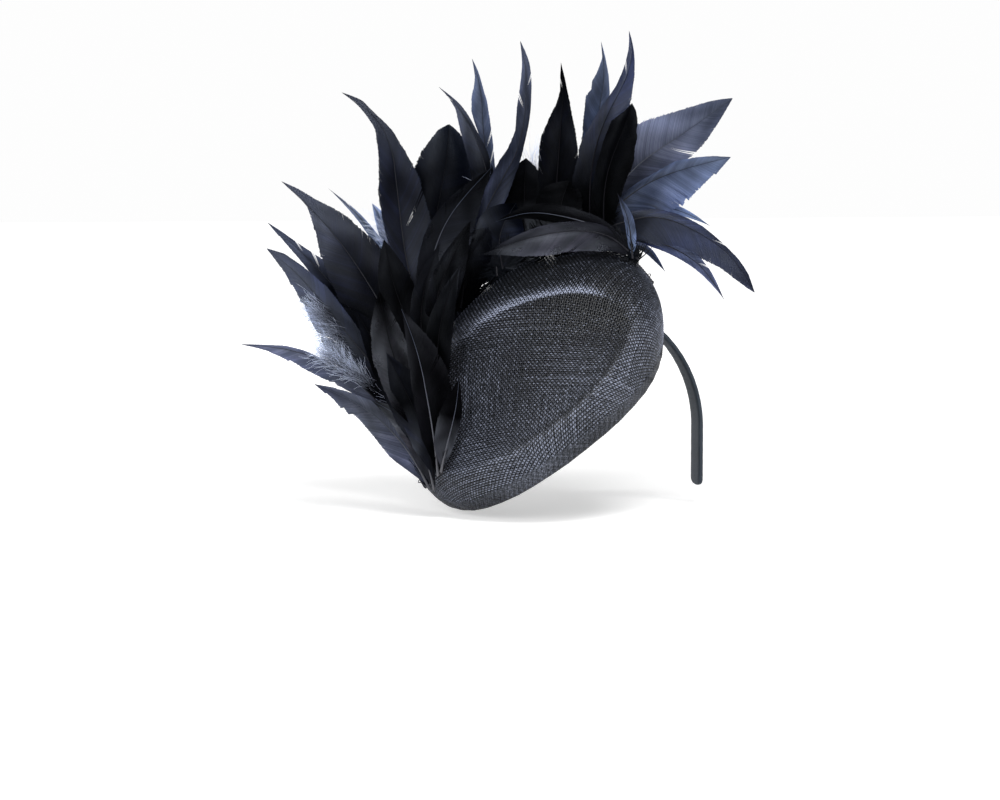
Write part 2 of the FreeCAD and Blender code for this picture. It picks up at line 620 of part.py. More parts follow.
def headband(label, prefixes, left):
    body = new_body(label)
    for number, prefix in enumerate(prefixes):
        band_step(body, label, number, prefix, left)
    return body


# ---- build, check and export ----

fill_sheet()
nodes = [
    crown_layer("crown_outer_layer", "outer"),
    crown_layer("crown_inner_layer", "inner"),
    crown_layer("crown_lining", "lining"),
    edge_binding(),
    grosgrain_ribbon(),
]
nodes += edge_wire()
nodes += cords_and_threads()
for length_name, is_left in (("centre", False), ("left_arm", True)):
    nodes.append(headband("headband_core_" + length_name, ["core"], is_left))
    nodes.append(headband("headband_cover_" + length_name, ["band", "slot"], is_left))
nodes.append(band_tacks())
for number, row in enumerate(FEATHERS, 1):
    nodes.append(feather(number, *row[:4]))
doc.recompute()

for item in doc.Objects:
    if "Invalid" in item.State or "Error" in item.State:
        raise RuntimeError("%s is not valid: %s" % (item.Label, item.State))
for node in nodes:
    if node.Shape.isNull() or not node.Shape.isValid() or not node.Shape.Solids:
        raise RuntimeError("%s has no valid solid" % node.Label)

os.makedirs("parts", exist_ok=True)
for node in nodes:
    node.Shape.exportStep("parts/%s.step" % node.Label)
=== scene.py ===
# A feathered cocktail hat: a dome of woven straw with a facet pressed into it, a folded edge,
# feathers tied round the crown on two cords, and a narrow cloth headband that arches over the head.
# Lengths are millimetres unless noted and become metres when a mesh is made. X points to the
# wearer's left, -Y to the front and Z up. The origin is the centre of the headband's arch.
import math

import bpy
import numpy as np
from mathutils import Matrix, Vector


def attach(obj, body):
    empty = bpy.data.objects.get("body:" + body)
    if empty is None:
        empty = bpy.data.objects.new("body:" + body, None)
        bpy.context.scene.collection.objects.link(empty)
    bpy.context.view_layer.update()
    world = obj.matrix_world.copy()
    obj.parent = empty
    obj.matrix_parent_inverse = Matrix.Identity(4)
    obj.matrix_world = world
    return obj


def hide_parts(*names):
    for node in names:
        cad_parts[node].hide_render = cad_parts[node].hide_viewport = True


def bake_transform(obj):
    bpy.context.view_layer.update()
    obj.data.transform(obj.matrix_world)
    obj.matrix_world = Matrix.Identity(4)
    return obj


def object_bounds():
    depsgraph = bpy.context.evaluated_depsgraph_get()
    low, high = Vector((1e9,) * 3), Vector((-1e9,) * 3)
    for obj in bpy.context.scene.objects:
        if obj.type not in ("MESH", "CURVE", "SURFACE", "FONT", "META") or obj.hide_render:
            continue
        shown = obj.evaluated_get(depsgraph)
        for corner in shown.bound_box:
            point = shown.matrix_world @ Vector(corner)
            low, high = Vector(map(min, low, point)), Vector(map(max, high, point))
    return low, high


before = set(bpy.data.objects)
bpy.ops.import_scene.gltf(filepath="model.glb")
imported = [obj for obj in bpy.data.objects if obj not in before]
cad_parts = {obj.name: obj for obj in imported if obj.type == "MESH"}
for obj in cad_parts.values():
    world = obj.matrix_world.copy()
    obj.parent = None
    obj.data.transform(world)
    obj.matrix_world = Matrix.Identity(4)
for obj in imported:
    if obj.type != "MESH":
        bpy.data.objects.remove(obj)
cad_box = [list(map(float, v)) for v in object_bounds()]
MAIN, ARM = "hat_and_band", "left_arm"
rng = np.random.default_rng(11)

# ------------------------------------------------------------------ camera
AZIMUTH, ELEVATION = math.radians(-15.0), math.radians(5.0)
TO_CAMERA = np.array((math.sin(AZIMUTH) * math.cos(ELEVATION),
                      -math.cos(AZIMUTH) * math.cos(ELEVATION),
                      math.sin(ELEVATION)))
RIGHT = np.cross(-TO_CAMERA, (0, 0, 1.0))  # to the right in the view
RIGHT /= np.linalg.norm(RIGHT)
UP = np.cross(RIGHT, -TO_CAMERA)  # up in the view
VIEW_DISTANCE = 1600.0
VIEW_WIDTH = 575.0  # width seen at that distance
CAMERA = TO_CAMERA * VIEW_DISTANCE - RIGHT * 39.1 + UP * 17.25 + np.array((0, 11, -1.5))

# ----------------------------------------------------------- crown surface
# The dome is half an oblate spheroid about DOME_AXIS.
DOME_CENTRE = np.array((-23.7848, -1.7200, 29.3483))
DOME_ACROSS = np.array((0.651928, -0.380534, 0.655884))
DOME_ALONG = np.array((0.126598, 0.907443, 0.400650))
DOME_AXIS = np.array((-0.747638, -0.178161, 0.639762))
DOME_RADIUS, DOME_HEIGHT = 86.33, 48.478
# The facet is part of a torus: one radius lies in the plane of FACET_SPAN and FACET_OUT, the
# other crosses it along FACET_CROSS.
FACET_POINT = np.array((-56.548, -22.962, 51.974))
FACET_SPAN = np.array((-0.026552, 0.724731, 0.688521))
FACET_CROSS = np.array((-0.686306, 0.487573, -0.539682))
FACET_OUT = np.array((-0.726828, -0.486866, 0.484441))
FACET_SPAN_RADIUS, FACET_CROSS_RADIUS = 707.19, 164.36
# ellipsoid of the head, on which the dome's edge rests
HEAD_CENTRE = np.array((0.000, 16.007, -20.527))
HEAD_RADII = np.array((75.0, 99.647, 99.647))


def unit(vectors):
    return vectors / np.maximum(np.linalg.norm(vectors, axis=-1, keepdims=True), 1e-9)


def path_length(points):
    """Distance along a line at each of its points."""
    return np.r_[0, np.cumsum(np.linalg.norm(np.diff(points, axis=0), axis=1))]


def interp_rows(at, stations, rows):
    return np.stack([np.interp(at, stations, column) for column in rows.T], -1)


def soft_positive(value, softness):
    return 0.5 * (value + np.sqrt(value * value + softness * softness))


def rise(value, start, span):
    """From 0 at start to 1 at start + span."""
    return np.clip((value - start) / span, 0, 1)


def smoothstep(x):
    return x * x * (3 - 2 * x)


PROFILE_TURN = np.linspace(0, 2.9, 3000)
PROFILE_LENGTH = path_length(np.stack([DOME_RADIUS * np.sin(PROFILE_TURN),
                                       DOME_HEIGHT * np.cos(PROFILE_TURN)], -1))


def dome_section(angle, arc):
    """Radial direction, radius and height on the plain dome."""
    turn = np.interp(arc, PROFILE_LENGTH, PROFILE_TURN)
    radial = np.cos(angle)[..., None] * DOME_ACROSS + np.sin(angle)[..., None] * DOME_ALONG
    return radial, DOME_RADIUS * np.sin(turn), DOME_HEIGHT * np.cos(turn)


def head_gap(points):
    scaled = (points - HEAD_CENTRE) / HEAD_RADII
    size = np.linalg.norm(scaled, axis=-1)
    return (size - 1) / (np.linalg.norm(scaled / HEAD_RADII, axis=-1) / size)


def facet_gap(points, off):
    """How far points stand proud of the facet, and the way out of it."""
    rel = points - (FACET_POINT - FACET_OUT * FACET_SPAN_RADIUS)
    span, cross, out = rel @ FACET_SPAN, rel @ FACET_CROSS, rel @ FACET_OUT
    radius = np.hypot(span, out)
    beyond = radius - (FACET_SPAN_RADIUS - FACET_CROSS_RADIUS)
    reach = np.hypot(beyond, cross)
    normal = ((beyond / reach / radius)[..., None]
              * (span[..., None] * FACET_SPAN + out[..., None] * FACET_OUT)
              + (cross / reach)[..., None] * FACET_CROSS)
    return reach - (FACET_CROSS_RADIUS + off), normal


def facet_fade(points):
    """The pressing of the facet dies out towards the top of the crown."""
    rel = points - FACET_POINT
    return (7.0 + 3.5 * rise(rel @ RIGHT, -6, 30.0)) * smoothstep(rise(rel @ UP, 6, 44.0))


def crown_surface(angle, arc, off):
    """Point and outward direction on the crown: angle round the dome's axis,
    arc the distance from its top along the cloth, off outwards."""
    angle, arc, off = np.broadcast_arrays(angle, arc, off)
    radial, radius, height = dome_section(angle, arc)
    n_radial, n_axial = radius / DOME_RADIUS ** 2, height / DOME_HEIGHT ** 2
    size = np.hypot(n_radial, n_axial)
    n_radial, n_axial = n_radial / size, n_axial / size
    normal = radial * n_radial[..., None] + DOME_AXIS * n_axial[..., None]
    point = (DOME_CENTRE + radial * (radius + off * n_radial)[..., None]
             + DOME_AXIS * (height + off * n_axial)[..., None])
    gap, facet_normal = facet_gap(point, off)
    gap = gap - facet_fade(point)
    # the facet is pressed in a little below the torus, so its rim stays crisp
    proud = soft_positive(gap, 1.6)
    point = point - facet_normal * (proud + 5.0 * (1 - np.exp(-proud / 7.0)))[..., None]
    blend = (0.5 * (1 + gap / np.sqrt(gap * gap + 2.6)))[..., None]
    normal = unit(normal * (1 - blend) + facet_normal * blend)
    # the edge rises a little where the headband comes out under it
    x, y, z = point[..., 0], point[..., 1], point[..., 2]
    band_radius = np.hypot(x, z)
    lift = (smoothstep(rise(-np.abs(y), -16, 7.0)) * rise(x, 20, 10.0) * rise(z, 8, 24.0)
            * np.minimum(soft_positive(77.3 + off - band_radius, 1.2), 5.0))
    out = np.stack([x / band_radius, 0 * x, z / band_radius], -1)
    return point + out * lift[..., None], normal


# the rim: how far down the cloth the dome meets the head, smoothed round the crown
RIM_ANGLES = np.linspace(-math.pi, math.pi, 721)
RIM_SMOOTH = 6
arcs = np.linspace(20, 190, 700)
touching = head_gap(crown_surface(RIM_ANGLES[:, None], arcs[None, :], 0.0)[0]) < 0.4
rim = arcs[np.where(touching.any(1), touching.argmax(1), -1)]
rim = np.r_[rim[-RIM_SMOOTH - 1:-1], rim, rim[1:RIM_SMOOTH + 1]]
rim = np.convolve(rim, np.ones(2 * RIM_SMOOTH + 1) / (2 * RIM_SMOOTH + 1), "valid")
rim_length = path_length(crown_surface(RIM_ANGLES, rim, 0.0)[0])
rim_total = rim_length[-1]


def rim_arc(angle):
    return np.interp((angle + math.pi) % (2 * math.pi) - math.pi, RIM_ANGLES, rim)


def rim_angle(distance):
    return np.interp(distance % rim_total, rim_length, RIM_ANGLES)


# ------------------------------------------------------------------ meshes
def make(name, verts, quads, tris, uv, mat, shade=None, tint=None, body=MAIN, slot=None):
    """A smooth mesh object from vertices in millimetres."""
    mesh = bpy.data.meshes.new(name)
    verts = np.asarray(verts, float).reshape(-1, 3) / 1000.0
    mesh.vertices.add(len(verts))
    mesh.vertices.foreach_set("co", verts.astype(np.float32).ravel())
    faces = [np.asarray(group, np.int32) for group in (quads, tris) if group is not None]
    loops = np.concatenate([group.ravel() for group in faces])
    sizes = np.concatenate([np.full(len(group), group.shape[1], np.int32) for group in faces])
    mesh.loops.add(len(loops))
    mesh.loops.foreach_set("vertex_index", loops)
    mesh.polygons.add(len(sizes))
    mesh.polygons.foreach_set("loop_start", (np.cumsum(sizes) - sizes).astype(np.int32))
    mesh.polygons.foreach_set("loop_total", sizes)
    mesh.update(calc_edges=True)
    mesh.validate()
    mesh.polygons.foreach_set("use_smooth", np.ones(len(mesh.polygons), bool))
    layer = mesh.uv_layers.new(name="UVMap")
    corners = np.zeros(len(mesh.loops), np.int32)
    mesh.loops.foreach_get("vertex_index", corners)
    layer.data.foreach_set("uv", np.asarray(uv, np.float32).reshape(-1, 2)[corners].ravel())
    if shade is not None:
        layer = mesh.attributes.new("shade", "FLOAT", "POINT")
        layer.data.foreach_set("value", np.asarray(shade, np.float32).ravel())
    if tint is not None:
        layer = mesh.attributes.new("tint", "FLOAT_COLOR", "POINT")
        rgba = np.hstack([tint, np.ones((len(tint), 1))]).astype(np.float32)
        layer.data.foreach_set("color", rgba.ravel())
    mesh.materials.append(mat)
    obj = bpy.data.objects.new(name, mesh)
    bpy.context.scene.collection.objects.link(obj)
    if body:
        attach(obj, body)
    return obj


def grid_quads(rows, cols, first=0, wrap_rows=False, wrap_cols=False):
    i = np.arange(rows if wrap_rows else rows - 1)
    j = np.arange(cols if wrap_cols else cols - 1)
    i, j = np.meshgrid(i, j, indexing="ij")
    i_next, j_next = (i + 1) % rows, (j + 1) % cols
    corners = [i * cols + j, i_next * cols + j, i_next * cols + j_next, i * cols + j_next]
    return (first + np.stack(corners, -1)).reshape(-1, 4)


def tube_faces(rows, sides):
    """Side quads, and fans to two end points that follow the tube's vertices."""
    j = np.arange(sides)
    j_next = (j + 1) % sides
    start, last = rows * sides, (rows - 1) * sides
    tris = np.vstack([np.stack([0 * j + start, j_next, j], -1),
                      np.stack([0 * j + start + 1, last + j, last + j_next], -1)])
    return grid_quads(rows, sides, wrap_cols=True), tris


def fibre_quads(count, stations, first=0, keep=slice(None)):
    """Faces of fibres that are three vertices wide at each station."""
    i, j = np.meshgrid(np.arange(count), np.arange(stations - 1), indexing="ij")
    base = (first + (i * stations + j) * 3)[keep]
    return np.vstack([np.stack([base + k, base + 3 + k, base + 4 + k, base + 1 + k], -1)
                      .reshape(-1, 4) for k in (0, 1)])


def fibre_verts(lines, normals, half_width, ridge):
    """Flat fibres along lines, with a ridge raised down the middle."""
    side = unit(np.cross(normals, unit(np.gradient(lines, axis=1)))) * half_width
    return np.stack([lines - side, lines + normals * ridge, lines + side], 2)


def fibre_uv(u, v, count, stations):
    """UVs the same across the width of each fibre."""
    u, v, _ = np.broadcast_arrays(u, v, np.zeros((count, stations, 3)))
    return np.stack([u, v], -1).reshape(-1, 2)


def along(points, count):
    """Evenly spaced points on a smooth curve through control points, and its length."""
    points = np.asarray(points, float)
    ends = np.vstack([2 * points[0] - points[1], points, 2 * points[-1] - points[-2]])
    t = np.linspace(0, 1, 16, endpoint=False)[:, None]
    curve = []
    for i in range(len(points) - 1):
        a, b, c, d = ends[i:i + 4]
        curve.append(0.5 * (2 * b + (c - a) * t + (2 * a - 5 * b + 4 * c - d) * t ** 2
                            + (3 * b - a - 3 * c + d) * t ** 3))
    curve = np.vstack(curve + [points[-1:]])
    length = path_length(curve)
    return interp_rows(np.linspace(0, length[-1], count), length, curve), length[-1]


def rod(line, radius, sides=8):
    """Vertices, quads, triangles and UVs of a closed round rod."""
    count = len(line)
    radius = np.broadcast_to(radius, (count,))
    tangent = unit(np.gradient(line, axis=0))
    across = np.zeros_like(line)
    carried = np.cross(tangent[0], (0.3, 0.5, 0.8))
    carried /= np.linalg.norm(carried)
    for i in range(count):
        carried = carried - tangent[i] * (carried @ tangent[i])
        carried /= np.linalg.norm(carried)
        across[i] = carried
    other = np.cross(tangent, across)
    turn = np.linspace(0, 2 * math.pi, sides, endpoint=False)[None, :, None]
    verts = line[:, None] + radius[:, None, None] * (np.cos(turn) * across[:, None]
                                                     + np.sin(turn) * other[:, None])
    uv = np.stack(np.meshgrid(np.linspace(0, 1, count), np.linspace(0, 1, sides),
                              indexing="ij"), -1)
    return (np.vstack([verts.reshape(-1, 3), line[:1], line[-1:]]), *tube_faces(count, sides),
            np.vstack([uv.reshape(-1, 2), [[0, 0], [1, 0]]]))


def join_rods(rods):
    verts, quads, tris, uvs = zip(*rods)
    firsts = np.cumsum([0] + [len(group) for group in verts])
    return (np.vstack(verts), np.vstack([group + n for group, n in zip(quads, firsts)]),
            np.vstack([group + n for group, n in zip(tris, firsts)]), np.vstack(uvs))


# --------------------------------------------------------------- materials
def scaled(colour, factor):
    return tuple(channel * factor for channel in colour)


class Shader:
    """A material under construction. Values may be numbers or output sockets."""

    def __init__(self, name):
        self.material = bpy.data.materials.new(name)
        self.material.use_nodes = True
        self.tree = self.material.node_tree
        self.tree.nodes.clear()
        self.output = self.add("OutputMaterial")
        self.surface = self.add("BsdfPrincipled")
        self.feed(self.output, "Surface", self.surface.outputs["BSDF"])

    def add(self, kind, inputs=(), **settings):
        node = self.tree.nodes.new("ShaderNode" + kind)
        for key, value in settings.items():
            setattr(node, key, value)
        for key, value in dict(inputs).items():
            self.feed(node, key, value)
        return node

    def feed(self, node, key, value):
        if isinstance(value, bpy.types.NodeSocket):
            self.tree.links.new(value, node.inputs[key])
        else:
            node.inputs[key].default_value = value

    def put(self, **values):
        """Principled inputs, with underscores for spaces."""
        for key, value in values.items():
            self.feed(self.surface, key.replace("_", " "), value)

    def attribute(self, name):
        return self.add("Attribute", attribute_name=name).outputs

    def mapped(self, space, stretch=(1, 1, 1), turn=0.0):
        source = self.add("TexCoord").outputs[space]
        return self.add("Mapping", {"Scale": stretch, "Rotation": (0, 0, turn),
                                    "Vector": source}).outputs["Vector"]

    def noise(self, vector, scale=1.0, detail=4.0, rough=0.55):
        return self.add("TexNoise", {"Scale": scale, "Detail": detail, "Roughness": rough,
                                     "Vector": vector}).outputs["Fac"]

    def yarns(self, vector, scale, direction):
        return self.add("TexWave", {"Scale": scale, "Distortion": 0.6, "Detail": 2.0,
                                    "Vector": vector}, bands_direction=direction).outputs["Fac"]

    def along_quill(self):
        """UV x, which runs from the quill to the tip."""
        source = self.add("TexCoord").outputs["UV"]
        return self.add("SeparateXYZ", {"Vector": source}).outputs["X"]

    def ramp(self, factor, stops):
        node = self.add("ValToRGB", {"Fac": factor})
        elements = node.color_ramp.elements
        while len(elements) > 1:
            elements.remove(elements[-1])
        elements[0].position, elements[0].color = stops[0][0], (*stops[0][1], 1)
        for position, colour in stops[1:]:
            elements.new(position).color = (*colour, 1)
        return node.outputs["Color"]

    def math(self, operation, *values):
        return self.add("Math", enumerate(values), operation=operation).outputs[0]

    def mix(self, first, second, factor=1.0, blend="MULTIPLY"):
        # a colour mix has its colours at inputs 6 and 7 and its result at output 2
        return self.add("Mix", {"Factor": factor}, data_type="RGBA", blend_type=blend), \
            first, second

    def mixed(self, first, second, factor=1.0, blend="MULTIPLY"):
        node = self.add("Mix", data_type="RGBA", blend_type=blend)
        # a colour mix has its colours at inputs 6 and 7 and its result at output 2
        for key, value in (("Factor", factor), (6, first), (7, second)):
            self.feed(node, key, value)
        return node.outputs[2]

    def vary_roughness(self, source, amount, lowest):
        self.put(Roughness=self.math("MULTIPLY_ADD", source, amount, lowest))

    def bump(self, height, strength, distance=0.0001):
        """Bump with its distance in metres."""
        self.put(Normal=self.add("Bump", {"Strength": strength, "Distance": distance,
                                          "Height": height}).outputs["Normal"])


del Shader.mix


def straw(name, base, light, rough, spec):
    """Stiffened straw fibre: each strand its own tone with painted highlight and shade from its
    shade attribute, fine lines along it.
    """
    shader = Shader(name)
    shade = shader.attribute("shade")["Fac"]
    lines = shader.noise(shader.mapped("UV", (0.6, 9.0, 1)), detail=5.0, rough=0.7)
    tone = shader.math("MULTIPLY", shader.math("MULTIPLY_ADD", lines, 0.5, shade), 0.72)
    colour = shader.ramp(tone, [(0.12, scaled(base, 0.35)), (0.40, base), (0.62, light),
                                (1.0, scaled(light, 4.4))])
    shader.put(Base_Color=colour, Roughness=rough, Specular_IOR_Level=spec,
               Coat_Weight=0.04, Coat_Roughness=0.3)
    shader.vary_roughness(lines, 0.25, rough - 0.12)
    shader.bump(lines, strength=0.35)
    return shader.material


def cloth(name, base, light, pitch, turn, rough, sheen, spec, sheen_tint=(0.5, 0.6, 0.8),
          bump_strength=0.5, bump_distance=0.00012):
    """Woven cloth on UVs in millimetres: two sets of yarns, slubs, soft wear."""
    shader = Shader(name)
    grid = shader.mapped("UV", turn=turn)
    weave = shader.math("MULTIPLY", shader.yarns(grid, 0.5 / pitch, "X"),
                        shader.yarns(grid, 0.5 / pitch, "Y"))
    slub = shader.noise(shader.mapped("UV", (0.12, 1.4, 1), turn))
    wear = shader.noise(shader.mapped("Object"), 38.0, 3.0)
    tone = shader.math("MULTIPLY", shader.math("MULTIPLY_ADD", weave, 0.5, slub), 0.75)
    yarn = shader.ramp(tone, [(0.2, scaled(base, 0.6)), (0.5, base), (0.85, light)])
    worn_tone = shader.ramp(wear, [(0.3, (0.78, 0.78, 0.8)), (0.7, (1.12, 1.12, 1.1))])
    shader.put(Base_Color=shader.mixed(yarn, worn_tone), Roughness=rough,
               Specular_IOR_Level=spec, Sheen_Weight=sheen, Sheen_Tint=(*sheen_tint, 1),
               Sheen_Roughness=0.4)
    shader.bump(tone, bump_strength, bump_distance)
    return shader.material


def plume(name, base, light, tip, rough, sheen, through, spec):
    """Feather vane. UV x runs from quill to tip, y out along the barbs."""
    shader = Shader(name)
    shade = shader.attribute("shade")["Fac"]
    fine = shader.noise(shader.mapped("UV", (260.0, 2.0, 1)), detail=3.0, rough=0.6)
    broad = shader.noise(shader.mapped("UV", (5.0, 1.6, 1)), detail=3.0, rough=0.5)
    tone = shader.math("MULTIPLY_ADD", fine, 0.45, broad)
    tone = shader.math("MULTIPLY_ADD", tone, 0.62, shade)
    tone = shader.math("MULTIPLY", tone, 0.8)
    body = shader.ramp(tone, [(0.2, scaled(base, 0.5)), (0.5, base), (0.85, light)])
    near_tip = shader.add("MapRange", {"From Min": 0.55, "From Max": 1.0, "To Max": 0.6,
                                       "Value": shader.along_quill()}).outputs["Result"]
    tip_colour = shader.add("RGB").outputs[0]
    tip_colour.default_value = (*tip, 1)
    colour = shader.mixed(body, tip_colour, near_tip, "MIX")
    tint = shader.attribute("tint")
    colour = shader.mixed(colour, tint["Color"])
    shader.put(Base_Color=colour, Roughness=rough, Specular_IOR_Level=spec, Sheen_Weight=sheen)
    # the shine follows the tint, so dark vanes stay dull
    for key, amount in (("Specular_IOR_Level", spec), ("Sheen_Weight", sheen)):
        limited = shader.math("MINIMUM", tint["Fac"], 1.3)
        shader.put(**{key: shader.math("MULTIPLY", limited, amount)})
    shader.put(Sheen_Tint=(0.3, 0.42, 0.75, 1), Sheen_Roughness=0.35,
               Specular_Tint=(0.78, 0.86, 1.0, 1))
    shader.vary_roughness(broad, 0.3, rough - 0.15)
    shader.bump(fine, 0.4, 0.00012)
    glow = shader.add("HueSaturation", {"Value": 2.2, "Saturation": 0.92, "Color": colour})
    translucent = shader.add("BsdfTranslucent", {"Color": glow.outputs["Color"]})
    both = shader.add("MixShader", {"Fac": through, 1: shader.surface.outputs["BSDF"],
                                    2: translucent.outputs["BSDF"]})
    shader.feed(shader.output, "Surface", both.outputs["Shader"])
    return shader.material


def horn(name, base, tip, rough=0.5, spec=0.2):
    """Feather shaft: one colour at the quill, another at the tip, fine long lines."""
    shader = Shader(name)
    lines = shader.noise(shader.mapped("UV", (3.0, 14.0, 1)))
    tone = shader.math("MULTIPLY_ADD", lines, 0.25, shader.along_quill())
    middle = tuple((a + b) / 2 for a, b in zip(base, tip))
    colour = shader.ramp(tone, [(0.05, base), (0.45, middle), (0.95, tip)])
    shader.put(Base_Color=colour, Roughness=rough, Specular_IOR_Level=spec)
    shader.bump(lines, strength=0.3)
    return shader.material


def worn(name, base, light, rough, scale, metallic=0.0, stretch=(1, 1, 1), bump=0.3):
    """A plain material mottled by noise."""
    shader = Shader(name)
    mottle = shader.noise(shader.mapped("Object", stretch), scale, 5.0, 0.6)
    shader.put(Base_Color=shader.ramp(mottle, [(0.3, base), (0.7, light)]),
               Roughness=rough, Metallic=metallic)
    shader.vary_roughness(mottle, 0.3, max(rough - 0.15, 0.05))
    shader.bump(mottle, bump)
    return shader.material


M_STRAW = straw("sinamay_strands", (0.010, 0.012, 0.017), (0.064, 0.071, 0.094),
                rough=0.34, spec=0.34)
M_STRAW_EDGE = straw("sinamay_edge_strands", (0.011, 0.013, 0.018), (0.058, 0.064, 0.083),
                     rough=0.36, spec=0.32)
# navy sinamay under layers, painted far darker than the strands: their own colour with painted shade
# seen through the gaps of the weave
M_UNDER_SHADED = cloth("sinamay_under_layer", (0.0018, 0.0021, 0.0032), (0.018, 0.021, 0.031),
                pitch=0.8, turn=0.32, rough=0.7, sheen=0.0, spec=0.08)
M_EDGE = cloth("edge_fold_cloth", (0.006, 0.007, 0.011), (0.020, 0.022, 0.030),
               pitch=0.75, turn=0.785, rough=0.55, sheen=0.08, spec=0.2)
M_LINING = cloth("lining_cloth", (0.009, 0.011, 0.017), (0.028, 0.032, 0.044),
                 pitch=0.5, turn=0.0, rough=0.5, sheen=0.15, spec=0.2)
M_RIBBON = cloth("ribbed_ribbon", (0.008, 0.010, 0.016), (0.02, 0.024, 0.035),
                 pitch=0.6, turn=0.0, rough=0.55, sheen=0.15, spec=0.25)
M_BAND = cloth("band_cloth", (0.024, 0.034, 0.048), (0.036, 0.049, 0.067),
               pitch=0.28, turn=0.6, rough=0.62, sheen=0.2, spec=0.3,
               sheen_tint=(0.6, 0.68, 0.8), bump_strength=0.3, bump_distance=0.00004)
M_STITCH = worn("sewing_thread", (0.012, 0.014, 0.022), (0.05, 0.055, 0.075),
                rough=0.55, scale=2500.0)
M_CORD = worn("cord_fibre", (0.012, 0.012, 0.018), (0.05, 0.05, 0.062), rough=0.7, scale=1800.0)
M_STEEL = worn("brushed_steel_strip", (0.30, 0.31, 0.33), (0.55, 0.56, 0.58),
               rough=0.35, scale=90.0, metallic=1.0, stretch=(30, 1, 30), bump=0.15)
M_WIRE = worn("wound_wire", (0.012, 0.013, 0.017), (0.05, 0.05, 0.06), rough=0.6, scale=1500.0)

# kind: material; base, light and tip colours; roughness, sheen, share of light let through
# and specular level
PLUMES = {kind: plume("plume_" + look[0], *look[1:]) for kind, look in {
    "navy": ("navy", (0.0030, 0.0042, 0.0105), (0.0085, 0.0125, 0.031), (0.005, 0.0085, 0.024),
             0.40, 0.10, 0.20, 0.40),
    "black": ("black", (0.0022, 0.0026, 0.0045), (0.0062, 0.0072, 0.012), (0.003, 0.004, 0.008),
              0.38, 0.07, 0.06, 0.40),
    "blue": ("slate_blue", (0.024, 0.033, 0.056), (0.050, 0.064, 0.102), (0.034, 0.048, 0.082),
             0.45, 0.18, 0.42, 0.35),
    "light": ("light_blue", (0.032, 0.045, 0.080), (0.068, 0.090, 0.148), (0.044, 0.061, 0.105),
              0.45, 0.2, 0.46, 0.35),
    "grey": ("grey", (0.048, 0.056, 0.082), (0.088, 0.098, 0.130), (0.044, 0.056, 0.090),
             0.42, 0.2, 0.5, 0.35),
    "slate": ("slate", (0.015, 0.019, 0.034), (0.045, 0.053, 0.082), (0.024, 0.031, 0.055),
              0.42, 0.16, 0.34, 0.38),
    "brown": ("brown_black", (0.0055, 0.0052, 0.0075), (0.018, 0.017, 0.022),
              (0.007, 0.0075, 0.011), 0.34, 0.10, 0.06, 0.45),
    "satin": ("satin", (0.0085, 0.0092, 0.0135), (0.028, 0.030, 0.041), (0.010, 0.011, 0.017),
              0.30, 0.16, 0.06, 0.6),
}.items()}
M_SHAFT = horn("feather_shaft_dark", (0.009, 0.009, 0.013), (0.004, 0.005, 0.009))
M_SHAFT_BLACK = horn("feather_shaft_black", (0.0035, 0.0035, 0.005), (0.002, 0.002, 0.003),
                     rough=0.65, spec=0.04)
M_SHAFT_PALE = horn("feather_shaft_pale", (0.10, 0.10, 0.11), (0.030, 0.038, 0.06))
M_DOWN = plume("down_tufts", (0.29, 0.32, 0.41), (0.56, 0.60, 0.71), (0.54, 0.60, 0.70),
               rough=0.6, sheen=0.4, through=0.4, spec=0.5)


# ------------------------------------------------------------- woven crown
def crown_tone_and_painted_light(angle, arc):
    """Painted highlight on the rim of the facet; painted shade above it, at the left, inside its rim
    and in the upper right; painted light on the lower right; broad tone patches.
    """
    radial, radius, height = dome_section(angle, arc)
    point = DOME_CENTRE + radial * radius[..., None] + DOME_AXIS * height[..., None]
    gap = facet_gap(point, 0.0)[0] - facet_fade(point)  # above 0 on the facet
    rel = point - FACET_POINT
    up, right = rel @ UP, rel @ RIGHT
    # painted highlight along the rim of the facet, strong on its upper part, weak on its lower part
    painted_rim_highlight = np.where(gap > 0, np.exp(-(gap / 0.5) ** 2), np.exp(-(gap / 1.8) ** 2))
    rim_highlight_upper = (rise(up, -4, 24.0) * rise(-right, -70, 16.0)
                 * np.interp(right, [-30, 35], [0.55, 1.0]))
    rim_highlight_lower = rise(-up, -6, 30.0)
    # painted light on the lower right; painted shade above the rim, at the left, in a valley inside
    # the rim on the right, over the facet and in the upper right corner
    painted_light_lower_right = rise(-gap, 0, 4.0) * rise(right - 0.9 * up, -4, 34.0)
    above = rise(-gap, 2, 5.0) * rise(up, 4, 30.0) * rise(0.4 * up - right, -72, 30.0)
    left = rise(-right, 18, 30.0)
    painted_shade_valley = np.exp(-((gap - 1.2) / 1.6) ** 2) * rise(right, 4, 20.0)
    inside = (rise(gap, 0, 2.5) * rise(up, -30, 40.0)
              * np.interp(right, [25, 50], [1.0, 1.45]))
    corner = rise(right, 50, 18.0) * rise(up, 6, 20.0) * rise(-gap, 0, 1.5)
    a, b = arc * np.cos(angle), arc * np.sin(angle)
    patches = 0.05 * np.sin(a * 0.071 + b * 0.043 + 1.0) + 0.05 * np.sin(a * 0.037 - b * 0.083)
    return (painted_rim_highlight * (0.95 * rim_highlight_upper + 0.12 * rim_highlight_lower) + 0.13 * painted_light_lower_right - 0.36 * above
            - 0.10 * left - 0.20 * painted_shade_valley - 0.20 * inside - 0.24 * corner + patches)


